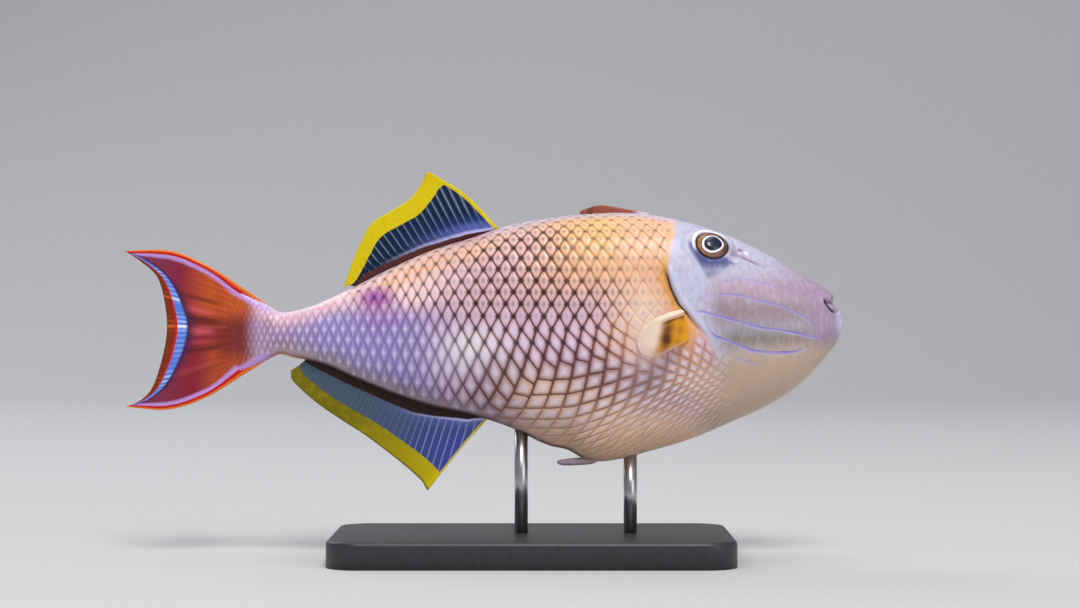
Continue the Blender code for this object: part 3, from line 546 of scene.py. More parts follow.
def head_relief(x, z, around_eye):
    """Lids, socket, nostril, folds, cheek lines, lips, mouth and the edge of the gill cover."""
    back, belly = outline_room(x, z)
    rise = 0.6 * hump(around_eye - 1.17, 0.12) * smooth_step(-1.0, 3.5, back)
    rise = rise - 4.2 * smooth_step(1.04, 0.84, around_eye)
    rise = rise - 0.45 * hump(around_eye - 1.55, 0.2)
    rise = rise + 0.5 * hump(np.hypot((x - NOSTRIL[0]) / 1.6, z - NOSTRIL[1] + 0.35 * (x - NOSTRIL[0])), 0.7)
    rise = rise - 0.45 * hump(np.hypot(x - REAR_NOSTRIL[0], z - REAR_NOSTRIL[1]), 0.45)
    rise = rise + 0.25 * hump(np.hypot(x - REAR_NOSTRIL[0], z - REAR_NOSTRIL[1]) - 0.9, 0.4)
    rise = rise - 0.6 * hump(line_distance(x, z, EYE_GROOVE), 0.6)
    for line, strength, half in CHEEK_LINES:
        rise = rise - 0.16 * strength * hump(curve_distance(x, z, line), 0.5)
    lips = curve_distance(x, z, MOUTH_LINE)
    rise = rise + 0.35 * hump(lips - 1.2, 0.7) - 1.3 * hump(lips, 0.4)
    rise = rise - 0.7 * hump(line_distance(x, z, MOUTH_NOTCH), 0.45)
    rise = rise + 0.3 * hump(np.hypot(x - 130.2, z - 99.2), 1.6)
    behind = behind_gill(x, z)
    window = smooth_step(82, 88, z) * smooth_step(111, 106, z)
    rise = rise + 0.55 * hump(behind + 1.3, 1.6) * window - 1.0 * hump(behind - 0.7, 0.9) * window
    return rise


def sheet(across, along):
    """A flat grid from the grid operator, with each corner's place from 0 to 1 both ways."""
    work = bmesh.new()
    bmesh.ops.create_grid(work, x_segments=across, y_segments=along, size=0.5)
    mesh = bpy.data.meshes.new("sheet")
    work.to_mesh(mesh)
    work.free()
    place = np.empty(len(mesh.vertices) * 3)
    mesh.vertices.foreach_get("co", place)
    place = place.reshape(-1, 3)
    return mesh, place[:, 0] + 0.5, place[:, 1] + 0.5


def set_places(mesh, points):
    mesh.vertices.foreach_set("co", (np.asarray(points) * MM).astype(np.float32).ravel())


def set_map(mesh, across, along):
    """The unwrap map named OFBake: each corner at its own place on the unwrapped sheet."""
    corners = np.empty(len(mesh.loops), int)
    mesh.loops.foreach_get("vertex_index", corners)
    layer = mesh.uv_layers.new(name="OFBake")
    places = np.stack([across[corners], along[corners]], axis=-1)
    layer.data.foreach_set("uv", places.astype(np.float32).ravel())


def set_value(mesh, name, values):
    layer = mesh.attributes.new(name, "FLOAT", "POINT")
    layer.data.foreach_set("value", np.asarray(values, np.float32))


def set_colour(mesh, colours):
    layer = mesh.color_attributes.new("markings", "FLOAT_COLOR", "POINT")
    full = np.concatenate([np.clip(colours, 0, 1), np.ones((len(colours), 1))], axis=1)
    layer.data.foreach_set("color", full.astype(np.float32).ravel())


def close_up(mesh, distance=0.00002):
    """Joins corners that meet and turns the faces outwards."""
    work = bmesh.new()
    work.from_mesh(mesh)
    bmesh.ops.remove_doubles(work, verts=work.verts, dist=distance)
    bmesh.ops.dissolve_degenerate(work, edges=work.edges, dist=1e-7)
    bmesh.ops.recalc_face_normals(work, faces=work.faces)
    if work.calc_volume(signed=True) < 0:
        bmesh.ops.reverse_faces(work, faces=work.faces)
    work.to_mesh(mesh)
    work.free()


def turn_outwards(mesh, reversed_side):
    """Turns the faces of a mirrored set of closed plates outwards."""
    work = bmesh.new()
    work.from_mesh(mesh)
    if reversed_side:
        bmesh.ops.reverse_faces(work, faces=work.faces)
    if work.calc_volume(signed=True) < 0:
        bmesh.ops.reverse_faces(work, faces=work.faces)
    work.to_mesh(mesh)
    work.free()


def finish_piece(name, mesh, shader, stands_for=()):
    """Puts a finished mesh in the scene as a piece of the fish or its stand."""
    mesh.name = name
    mesh.materials.clear()
    mesh.materials.append(shader)
    mesh.polygons.foreach_set("use_smooth", np.ones(len(mesh.polygons), bool))
    piece = bpy.data.objects.new(name, mesh)
    bpy.context.scene.collection.objects.link(piece)
    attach(piece, "root")
    if stands_for:
        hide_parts(*stands_for)
    return piece


def new_material(name):
    made = bpy.data.materials.new(name)
    made.use_nodes = True
    tree = made.node_tree
    return made, tree, tree.nodes["Principled BSDF"]


def add_node(tree, kind, links=None, out=0, **settings):
    """Adds a shader node and gives one output. Links fill its sockets with outputs, numbers or hex colours."""
    made = tree.nodes.new(kind)
    for key, value in settings.items():
        setattr(made, key, value)
    for socket, value in (links or {}).items():
        if isinstance(value, bpy.types.NodeSocket):
            tree.links.new(value, made.inputs[socket])
        elif isinstance(value, str):
            made.inputs[socket].default_value = (*linear(value), 1.0)
        else:
            made.inputs[socket].default_value = value
    return made.outputs[out]


def paint(tree, colour, layers):
    """Lays colours over one another: each layer is (field, where it starts, where it is full, colour)."""
    for field, start, full, top in layers:
        limits = {"Value": field, "From Min": start, "From Max": full}
        share = add_node(tree, "ShaderNodeMapRange", limits)
        colour = add_node(tree, "ShaderNodeMix", {0: share, 6: colour, 7: top}, out=2, data_type="RGBA")
    return colour


def fields(tree, *names):
    """Values that the mesh carries at its corners, by name."""
    return {n: add_node(tree, "ShaderNodeAttribute", out="Fac", attribute_name=n) for n in names}


def finish_skin(tree, shader, colour, rough, coat, grain, depth, scatter=0.08):
    """Skin under thin clear slime: pigment colour, fine grain and a wet gloss over it."""
    tree.links.new(colour, shader.inputs["Base Color"])
    place = add_node(tree, "ShaderNodeTexCoord", out="Object")
    speck = add_node(tree, "ShaderNodeTexNoise", {"Vector": place, "Scale": grain, "Detail": 3.0})
    bump = add_node(tree, "ShaderNodeBump", {"Height": speck, "Strength": 0.3, "Distance": depth})
    tree.links.new(bump, shader.inputs["Normal"])
    shader.inputs["Roughness"].default_value = rough
    shader.inputs["IOR"].default_value = 1.38
    shader.inputs["Subsurface Weight"].default_value = scatter
    shader.inputs["Subsurface Radius"].default_value = (1.0, 0.5, 0.4)
    shader.inputs["Subsurface Scale"].default_value = 0.002
    shader.inputs["Coat Weight"].default_value = coat
    shader.inputs["Coat Roughness"].default_value = 0.25
    shader.inputs["Specular IOR Level"].default_value = 0.5 if coat > 0.15 else 0.25


def clouded(tree, low, high, scale):
    """The colour carried by the mesh, made a little darker and lighter in soft clouds."""
    place = add_node(tree, "ShaderNodeTexCoord", out="Object")
    paint_here = add_node(tree, "ShaderNodeAttribute", out="Color", attribute_name="markings")
    cloud = add_node(tree, "ShaderNodeTexNoise", {"Vector": place, "Scale": scale, "Detail": 5.0})
    tone = add_node(tree, "ShaderNodeMapRange", {"Value": cloud, "To Min": low, "To Max": high})
    links = {0: 1.0, 6: paint_here, 7: tone}
    return add_node(tree, "ShaderNodeMix", links, out=2, data_type="RGBA", blend_type="MULTIPLY")


def head_material(tones):
    """Living fish skin: thin clear slime over pigment, so soft colour under a wet, broken gloss."""
    made, tree, shader = new_material("wet_fish_skin")
    names = ("cheek_line", "cheek_strength", "groove", "groove_strength", "mouth", "nostril", "rear_nostril")
    field = fields(tree, *names, "around_eye", "lid", "behind_gill", "slit_shade", "bare")
    away = add_node(tree, "ShaderNodeMath", {0: field["cheek_line"]}, operation="ABSOLUTE")
    share = {}
    for name, value, start, full, strength in (
        ("glow", away, 1.5, 0.5, "cheek_strength"),
        ("core", away, 0.85, 0.5, "cheek_strength"),
        ("dark", field["cheek_line"], 0.05, 0.45, "cheek_strength"),
        ("fold", field["groove"], 0.9, 0.0, "groove_strength"),
        ("under_fold", field["groove"], -0.5, -0.1, "groove_strength"),
        ("lid_highlight", field["around_eye"], 1.3, 1.0, "lid"),
        ("slit_near", field["behind_gill"], -0.15, 0.15, "slit_shade"),
    ):
        ranged = add_node(tree, "ShaderNodeMapRange", {"Value": value, "From Min": start, "From Max": full})
        share[name] = add_node(tree, "ShaderNodeMath", {0: ranged, 1: field[strength]}, operation="MULTIPLY")
    # Painted shade on the upper side of each cheek line's groove.
    line_shade_edge = add_node(tree, "ShaderNodeMath", {0: share["dark"], 1: share["core"]}, operation="MULTIPLY")
    # Painted shade along the groove before the eye and up its upper side.
    fold = add_node(tree, "ShaderNodeMath", {0: share["fold"], 1: share["under_fold"]}, operation="MULTIPLY")
    slit_end = add_node(tree, "ShaderNodeMapRange", {"Value": field["behind_gill"], "From Min": 1.1, "From Max": 0.6})
    slit_shade = add_node(tree, "ShaderNodeMath", {0: share["slit_near"], 1: slit_end}, operation="MULTIPLY")
    place = add_node(tree, "ShaderNodeTexCoord", out="Object")
    upright = add_node(tree, "ShaderNodeMapping", {"Vector": place, "Scale": (1.0, 1.0, 0.4)})
    mottle = add_node(tree, "ShaderNodeTexNoise", {"Vector": upright, "Scale": 700.0, "Detail": 4.0})
    mottle = add_node(tree, "ShaderNodeMath", {0: mottle, 1: 0.5}, operation="SUBTRACT")
    mottle = add_node(tree, "ShaderNodeMath", {0: mottle, 1: field["bare"]}, operation="MULTIPLY")
    colour = paint(
        tree,
        clouded(tree, 0.93, 1.06, 170.0),
        (
            (mottle, 0.0, 1.2, tones.face_pale),
            (mottle, 0.0, -0.7, tones.cheek),
            # Pale band along each cheek line: partly pale skin, partly a painted highlight on the groove.
            (share["glow"], 0.0, 2.4, tones.face_line_pale_and_highlight),
            (share["core"], 0.0, 1.2, tones.face_line),
            (line_shade_edge, 0.0, 1.1, tones.face_line_shade_edge),
            (fold, 0.0, 1.0, tones.groove_shade_red),
            # Painted shade in the gill slit.
            (slit_shade, 0.0, 1.1, tones.gill_slit_shade),
            # Painted shadow in the gap of the mouth.
            (field["mouth"], 0.5, 0.26, tones.mouth),
            # Painted highlight on the nostril's raised rim.
            (field["nostril"], 0.9, 0.1, tones.white_and_highlight),
            # Painted shade in the pit of the rear nostril.
            (field["rear_nostril"], 0.75, 0.1, tones.groove_shade_red),
            # Painted highlight on the upper lid above the eye.
            (share["lid_highlight"], 0.0, 1.0, tones.white_and_highlight),
            (field["around_eye"], 0.16, 0.02, tones.lid_dark),
        ),
    )
    finish_skin(tree, shader, colour, 0.38, 0.22, 900.0, 0.0002)
    return made


def plate_material():
    """Scale plates: hard, smooth and wet, with a crisper gloss than the skin between them."""
    made, tree, shader = new_material("plated_fish_skin")
    finish_skin(tree, shader, clouded(tree, 0.93, 1.07, 240.0), 0.33, 0.2, 1500.0, 0.00015)
    return made


def skin_sheet_place(s, t, side):
    """Where a place on the body lies on its unwrap: length upwards, girth across."""
    girth = (t + math.pi / 2) / math.pi * 0.5
    girth = np.where(side > 0, 1.0 - girth, girth)
    length = (s - BODY_KNOTS[0]) / (BODY_KNOTS[-1] - BODY_KNOTS[0])
    return 0.01 + 0.98 * girth, 0.01 + 0.98 * length


def from_crossing(lattice, points):
    """How far each point is from the nearest place where four plates meet."""
    rows, columns = np.meshgrid(lattice.rows, lattice.columns, indexing="ij")
    odd = (rows + columns) % 2 == 1
    s, t, beyond = lattice.place(columns[odd].astype(float), rows[odd].astype(float))
    crossings = body(s[~beyond], t[~beyond])
    tree = KDTree(len(crossings))
    for number, crossing in enumerate(crossings):
        tree.insert(crossing, number)
    tree.balance()
    return np.array([tree.find(point)[2] for point in points])


def make_skin(tones, sizes):
    mesh, across, along = sheet(sizes.skin_around, sizes.skin_along)
    s = np.interp(along, (0.0, 0.46, 1.0), (BODY_KNOTS[0], 62.0, BODY_KNOTS[-1]))
    left = across > 0.5
    t = np.where(left, 1.5 - 2 * across, 2 * across - 0.5) * math.pi
    place = body(s, t)
    cut = np.interp(place[:, 2], *zip(*LIP_CUT))
    place[:, 0] -= cut * smooth_step(124.5, 131.5, place[:, 0])
    x, z = place[:, 0], place[:, 2]
    crossing = from_crossing(PlateLattice(), place)
    around_eye = eye_reach(place)
    lift = head_relief(x, z, around_eye) * smooth_step(0.0, 0.12, np.cos(t))
    lift = lift - sizes.skin_depth * 1000 * plated(x, z) * smooth_step(0.0, 0.2, np.cos(t))
    end = smooth_step(BODY_KNOTS[-1], BODY_KNOTS[-1] - 0.8, s)
    place = place + normals(s, t) * (lift * end)[:, None]
    place[:, 1] = np.minimum(place[:, 1], 0.0)
    middle = (across < 1e-6) | (across > 1 - 1e-6) | (np.abs(across - 0.5) < 1e-6)
    place[middle, 1] = 0.0
    colours = markings(x, z, tones)
    lines = plated(x, z) * line_strength(x, z)
    colours = colours + (line_tone(x, z, tones) - colours) * lines[:, None]
    colours = mix(colours, tones.line_spot, 0.95 * node_share(x, z) * hump(crossing, node_size(x, z)))
    place[left, 1] *= -1
    set_places(mesh, place)
    set_colour(mesh, colours)
    girth, length = 0.01 + 0.98 * across, 0.01 + 0.98 * (s - BODY_KNOTS[0]) / (BODY_KNOTS[-1] - BODY_KNOTS[0])
    set_map(mesh, girth, length)
    for name, values in fine_lines(x, z, around_eye).items():
        set_value(mesh, name, values)
    close_up(mesh)
    piece = finish_piece("skin", mesh, head_material(tones), ("head", "trunk", "tail_base"))


class PlateLattice:
    """Rows and columns that the scale plates lie on, joined to places on the body."""

    def __init__(self):
        self.rows = np.arange(-ROWS_EACH_WAY, ROWS_EACH_WAY + 1)
        self.most = 70
        self.columns = np.arange(-self.most, self.most + 1)
        self.places = np.zeros((len(self.rows), len(self.columns)))
        for i, row in enumerate(self.rows):
            for step in (1, -1):
                x = 0.0
                for k in range(0, self.most + 1):
                    self.places[i, self.most + step * k] = x
                    x += step * 0.5 * self.plate_width(x, row)
            # The low rows lie further forward, so that the rising lines stand steeper there.
            moved = 1.5 * max(0.0, -2.0 - row) * smooth_step(-14, 26, self.places[i])
            self.places[i] += np.minimum(moved, 11.0) * smooth_step(96, 48, self.places[i])
        self.lengths = np.linspace(BODY_KNOTS[0], 100.0, 200)
        self.angles = np.linspace(-math.pi / 2, math.pi / 2, 241)
        points = body(self.lengths[:, None], self.angles[None, :])
        girth = np.linalg.norm(np.diff(points, axis=1), axis=2)
        self.girth = np.concatenate([np.zeros((len(girth), 1)), np.cumsum(girth, axis=1)], axis=1)
        for i, ring in enumerate(points):
            row_line = np.interp(self.lengths[i], *zip(*ROW_LINE))
            self.girth[i] -= np.interp(row_line, ring[:, 2], self.girth[i])

    def plate_width(self, x, row):
        wide = np.interp(x, *zip(*PLATE_STEP))
        low = np.interp(row, (-12, -8, -6, -4, -2), (0.2, 0.18, 0.12, 0.04, 0.0))
        low = low * smooth_step(12, 30, x) * (1 - 0.8 * smooth_step(50, 75, x))
        high = np.interp(row, (3, 5, 8), (0.0, 0.04, 0.09)) * smooth_step(5, 30, x)
        return wide * (1 + low - high)

    def place(self, column, row):
        """s and t on the body for places on the lattice."""
        i = np.clip(row + ROWS_EACH_WAY, 0, 2 * ROWS_EACH_WAY - 0.001)
        k = np.clip(column + self.most, 0, 2 * self.most - 0.001)
        i0, k0 = i.astype(int), k.astype(int)
        up, along = i - i0, k - k0
        grid = self.places
        s = (1 - up) * ((1 - along) * grid[i0, k0] + along * grid[i0, k0 + 1])
        s = s + up * ((1 - along) * grid[i0 + 1, k0] + along * grid[i0 + 1, k0 + 1])
        knots, reaches = zip(*ROW_REACH)
        squeeze = np.where(row > 0, np.interp(s, *zip(*UPPER_SQUEEZE)), np.interp(s, *zip(*LOWER_SQUEEZE)))
        reach = spline(knots, reaches, row) * squeeze
        h = np.clip((s - self.lengths[0]) / (self.lengths[1] - self.lengths[0]), 0, 198.999)
        h0 = h.astype(int)
        t = np.zeros_like(s)
        for j in np.unique(h0):
            here = h0 == j
            low = np.interp(reach[here], self.girth[j], self.angles)
            high = np.interp(reach[here], self.girth[j + 1], self.angles)
            t[here] = low + (high - low) * (h[here] - j)
        beyond = (reach > self.girth[h0, -1]) | (reach < self.girth[h0, 0])
        return s, t, beyond


PLATE_AROUND = 12
# Reach from the middle and height of each ring of a plate, from its hidden underside to its top.
PLATE_RINGS = ((0.0, -1.0), (1.0, -0.5), (0.94, 0.35), (0.8, 0.7), (0.5, 0.92), (0.24, 1.0), (0.0, 1.02))


def plate_corners(lattice, columns, rows):
    """Corners of each plate on the lattice: right, top, left and bottom.

    Low on the side the falling lines turn level, so that there the diamonds lean over into bricks.
    """
    turned = []
    for step in (0.5, -0.5):
        s, t, beyond = lattice.place(columns + step, rows + step)
        near = body(s, t)
        turned.append(0.5 * brick_share(near[:, 0], near[:, 2]))
    high, low = turned
    return np.array(((1 + high, high), (-high, 1 - high), (-1 - low, -low), (low, low - 1)))


def plate_outline(corners, turn, lean, slack, blunt):
    """Places on the lattice of a plate's outer ring, drawn in from its neighbours, and how near a node each is."""
    order = np.round(turn / (math.pi / 6)).astype(int) % PLATE_AROUND
    side, part = order // 3, order % 3
    share = np.array((0.0, 0.2, 0.8))[part][:, None, None]
    edge = corners[side] * (1 - share) + corners[(side + 1) % 4] * share
    level = side % 2 == 0
    at_corner = np.where(level, 0.27 + 0.13 * blunt, 0.16 + 0.14 * blunt) * (slack - 0.42)
    along_side = (0.04 + np.where(level, -0.025, 0.045) * lean) * slack
    edge = edge.transpose(1, 2, 0) * (1 - np.where(part == 0, at_corner, along_side))
    node = np.where(part == 0, np.where(level, 1.0, 0.6), np.where(part == np.where(level, 1, 2), 0.4, 0.0))
    return edge[0], edge[1], node


def plate_array(count):
    """A mesh of many like plates, from one ball by an array, with each corner's ring and direction."""
    work = bmesh.new()
    bmesh.ops.create_uvsphere(work, u_segments=PLATE_AROUND, v_segments=len(PLATE_RINGS) - 1, radius=1.0)
    one = bpy.data.meshes.new("plate")
    work.to_mesh(one)
    work.free()
    place = np.empty(len(one.vertices) * 3)
    one.vertices.foreach_get("co", place)
    place = place.reshape(-1, 3)
    level = (1 - np.arccos(np.clip(place[:, 2], -1, 1)) / math.pi) * (len(PLATE_RINGS) - 1)
    reach, height = np.array(PLATE_RINGS)[np.round(level).astype(int)].T
    turn = np.arctan2(place[:, 1], place[:, 0])
    carrier = bpy.data.objects.new("plate", one)
    bpy.context.scene.collection.objects.link(carrier)
    copies = carrier.modifiers.new("copies", "ARRAY")
    copies.count = count
    copies.use_relative_offset = False
    copies.use_constant_offset = True
    copies.constant_offset_displace = (3.0, 0.0, 0.0)
    graph = bpy.context.evaluated_depsgraph_get()
    graph.update()
    made = bpy.data.meshes.new_from_object(carrier.evaluated_get(graph))
    bpy.data.objects.remove(carrier)
    return made, reach, height, turn


def make_plates(tones, sizes):
    """Scale plates of both sides: a rounded diamond or brick on each crossing of the lattice."""
    lattice = PlateLattice()
    random = np.random.default_rng(27)
    rows, columns = np.meshgrid(lattice.rows, lattice.columns, indexing="ij")
    even = (rows + columns) % 2 == 0
    rows, columns = rows[even].astype(float), columns[even].astype(float)
    s, t, beyond = lattice.place(columns, rows)
    middle = body(s, t)
    show = plated(middle[:, 0], middle[:, 2])
    back, belly = outline_room(middle[:, 0], middle[:, 2])
    beside = 3.1 - 1.7 * smooth_step(103, 109, middle[:, 2])
    clear = (behind_gill(middle[:, 0], middle[:, 2]) > beside) | (middle[:, 2] < 84)
    keep = (~beyond) & clear & (show > 0.12) & (s > -96.6) & (s < 94) & (back > 0.6) & (belly > 0.5)
    rows, columns, middle, show = rows[keep], columns[keep], middle[keep], show[keep]
    back, belly = back[keep], belly[keep]
    count = len(rows)
    mesh, reach, height, turn = plate_array(count)
    x, z = middle[:, 0:1], middle[:, 2:3]
    brick = brick_share(x, z)
    slack = 0.25 + 0.7 * line_strength(x, z)
    lean = spot(x, z, 28, 78, 24, 15) - 1.3 * spot(x, z, 54, 92, 11, 15)
    blunt = spot(x, z, 18, 106, 34, 17)
    along, upwards, node = plate_outline(plate_corners(lattice, columns, rows), turn, lean, slack, blunt)
    grow = (1 + random.uniform(-0.02, 0.01, (count, 1))) * reach[None, :]
    p, q = along * grow, upwards * grow
    ps, pt, over = lattice.place((columns[:, None] + p).ravel(), (rows[:, None] + q).ravel())
    high = sizes.plate_height * 1000 * (0.3 + 0.7 * show) * random.uniform(0.88, 1.12, count)
    high = high * (0.2 + 0.8 * slack[:, 0]) * smooth_step(-98, -88, x[:, 0]) * (0.75 + 0.35 * smooth_step(100, 78, z[:, 0]))
    high = high * smooth_step(100, 60, x[:, 0]) * smooth_step(-0.5, 5.0, back) * (0.5 + 0.5 * smooth_step(0.0, 8.0, belly))
    lift = -sizes.skin_depth * 1000 * show[:, None] + height[None, :] * high[:, None]
    tilt = p * random.uniform(-1, 1, (count, 1)) + q * random.uniform(-1, 1, (count, 1))
    lift = lift + 0.07 * tilt
    points = body(ps, pt) + normals(ps, pt) * lift.ravel()[:, None]
    points[:, 1] = np.minimum(points[:, 1], -0.02)
    px, pz = points[:, 0], points[:, 2]
    colours = markings(px, pz, tones)
    colours = colours * np.broadcast_to(random.uniform(0.93, 1.07, (count, 1)), p.shape).ravel()[:, None]
    lines = line_strength(px, pz)
    near = np.broadcast_to(reach[None, :], p.shape).ravel()
    behind = smooth_step(5, -25, px)
    # Pale middles of the lower and rear plates: partly their own pale centres, partly a painted highlight where light
    # catches each domed plate.
    glow = np.maximum(smooth_step(100, 86, pz), 0.9 * behind) * smooth_step(44, 58, pz) * smooth_step(-93, -76, px)
    core = hump(near, 0.5 - 0.18 * behind)
    glow = glow * smooth_step(92, 76, px) * (1 - 0.9 * spot(px, pz, 60, 85, 9, 11))
    # The rear plates darken towards their edges in the line colour: partly the soft lines themselves, partly painted
    # shade.
    shaded = behind * smooth_step(100, 88, pz) * smooth_step(-88, -74, px)
    colours = mix(colours, tones.rear_line, 0.3 * smooth_step(0.3, 0.95, near) * shaded)
    colours = mix(colours, tones.plate_pale_centre_and_highlight, (0.78 - 0.05 * behind) * core * glow)
    halo = hump(near - 0.55, 0.3)
    halo = halo * smooth_step(-90, -78, px)
    colours = mix(colours, tones.plate_pale, 0.4 * halo * (1 - glow) * (0.3 + 0.7 * lines))
    dotted = smooth_step(84, 96, pz) * smooth_step(-35, 5, px)
    colours = mix(colours, tones.plate_dot, 0.75 * hump(near, 0.35) * dotted * (0.5 + 0.5 * lines))
    colours = mix(colours, tones.magenta, 0.6 * spot(px, pz, -40.5, 98.5, 5.5, 3.4))
    # Painted shade in the soft valleys between the low plates.
    valley_shade = smooth_step(84, 72, pz) * smooth_step(50, 58, pz) * smooth_step(20, 45, px) * smooth_step(94, 80, px)
    colours = mix(colours, tones.low_line, 0.3 * smooth_step(0.4, 1.0, near) * valley_shade)
    # Plate edges take the line colour: partly the dark lines themselves, partly painted shade where each plate dips to
    # its neighbours.
    soft = smooth_step(90, 74, pz) * smooth_step(-25, 0, px)
    rim = smooth_step(0.72 - 0.22 * soft, 1.0, near) ** 2
    tone = line_tone(px, pz, tones)
    colours = colours + (tone - colours) * (0.6 * rim * lines)[:, None]
    corner = np.broadcast_to(node[None, :], p.shape).ravel() * smooth_step(0.92 - 0.45 * node_size(px, pz), 0.92, near)
    colours = mix(colours, tones.line_spot, 0.95 * corner * node_share(px, pz))
    shader = plate_material()
    for name, side in (("scale_plates_right", -1), ("scale_plates_left", 1)):
        each = mesh if side < 0 else mesh.copy()
        set_places(each, points * np.array((1.0, -side, 1.0)))
        set_colour(each, colours)
        set_map(each, *skin_sheet_place(ps, pt, np.full(len(ps), side)))
        turn_outwards(each, reversed_side=side > 0)
        piece = finish_piece(name, each, shader)
    print("plates a side:", count)


def fan(rays, u, v):
    """Points of a fin: u runs from root to margin, v across its rays, one place for each pair."""
    rays = np.asarray(rays, float)
    lines = spline(np.linspace(0, 1, len(rays)), rays, v)
    knots = np.linspace(0, 1, rays.shape[1])
    out = np.empty((len(v), rays.shape[2]))
    for value in np.unique(u):
        here = u == value
        out[here] = spline(knots, np.moveaxis(lines[here], 1, 0), np.array([value]))[0]
    return out


def fin_sheet(rays, across, along, thick, ridge, count, lines=()):
    """A closed thin fin: both faces from one sheet folded at the margin.

    thick holds half thicknesses at root, fleshy base, lower membrane, mid and margin.
    """
    mesh, v, w = sheet(across, 2 * along)
    u = np.round(1 - np.abs(2 * w - 1), 6)
    face = np.where(w > 0.5, 1.0, -1.0)
    place = fan(rays, u, v)
    root = fan(rays, np.zeros_like(u), v)
    edge = fan(rays, np.ones_like(u), v)
    from_root = np.linalg.norm(place - root, axis=1)
    from_margin = np.linalg.norm(place - edge, axis=1)
    first = fan(rays, u, np.zeros_like(v))
    last = fan(rays, u, np.ones_like(v))
    from_front = np.linalg.norm(place - first, axis=1)
    from_rear = np.linalg.norm(place - last, axis=1)
    half = np.interp(u, (0.0, 0.1, 0.2, 0.5, 1.0), thick)
    order = ray_order(place, rays, lines) if lines else v * count
    beat = 0.5 - 0.5 * np.cos(2 * math.pi * order)
    fine = 0.5 - 0.5 * np.cos(6 * math.pi * order)
    outer = smooth_step(0.45, 0.75, u)
    rays_up = ridge * ((1 - outer) * beat**3 + outer * 0.6 * fine)
    half = half + rays_up * smooth_step(0.03, 0.12, u)
    nearest = np.minimum(np.minimum(from_margin, from_front), np.minimum(from_rear, 40 * u))
    rounded = 1 - np.clip(nearest / 0.7, 0, 1)
    half = half * np.sqrt(np.clip(1 - rounded**2, 0, 1))
    values = {
        "from_root": from_root,
        "from_margin": from_margin,
        "from_front": from_front,
        "from_rear": from_rear,
        "ray": order,
    }
    return mesh, place, half, face, u, v, values


def fold_fin(mesh, centre, side, half, face, values, u, v):
    points = centre + side * (half * face)[:, None]
    set_places(mesh, points)
    for name, value in values.items():
        set_value(mesh, name, value)
    set_map(mesh, 0.02 + 0.96 * v, np.where(face > 0, 0.99 - 0.48 * u, 0.01 + 0.48 * u))
    close_up(mesh, 0.000005)


def fin_material(name, tones, yellow, blues, rear_blue, foot, line_end):
    """Fin membrane: thin wet skin between rays, so a satin gloss and a little light passing."""
    made, tree, shader = new_material(name)
    field = fields(tree, "above_foot", "in_band", "in_lead", "ray", "streak", "backwards")
    place = add_node(tree, "ShaderNodeTexCoord", out="Object")
    noise = add_node(tree, "ShaderNodeTexNoise", {"Vector": place, "Scale": 320.0, "Detail": 3.0})
    stray = add_node(tree, "ShaderNodeMath", {0: noise, 1: 0.5, 2: -0.25}, operation="MULTIPLY_ADD")
    height = add_node(tree, "ShaderNodeMath", {0: field["above_foot"], 1: stray}, operation="ADD")
    band = add_node(tree, "ShaderNodeMath", {0: field["in_band"], 1: stray}, operation="ADD")
    deep, middle, light = blues
    low_edge = add_node(tree, "ShaderNodeMapRange", {"Value": height, "From Min": 1.1, "From Max": 0.3})
    front = add_node(tree, "ShaderNodeMapRange", {"Value": field["backwards"], "From Min": line_end, "From Max": 0.15})
    pale = add_node(tree, "ShaderNodeMath", {0: low_edge, 1: front}, operation="MULTIPLY")
    gold = paint(tree, tones.fin_yellow, ((field["backwards"], 0.0, 0.6, yellow),))
    gold = paint(tree, gold, ((noise, 0.5, 1.3, tones.fin_yellow_deep), (field["streak"], 0.4, 2.4, tones.fin_yellow_deep)))
    colour = paint(
        tree,
        deep,
        (
            (height, 9.0, 2.5, middle),
            (height, 4.5, 0.7, light),
            (field["backwards"], 0.15, 0.6, rear_blue),
            (pale, 0.0, 1.0, tones.fin_base_pale),
            (field["ray"], 0.0, 1.4, tones.fin_ray),
            (band, -0.15, 0.15, gold),
            (field["in_lead"], -0.2, 0.15, gold),
            (height, 0.1, -0.2, foot),
        ),
    )
    finish_skin(tree, shader, colour, 0.45, 0.06, 1500.0, 0.0001, 0.03)
    return made


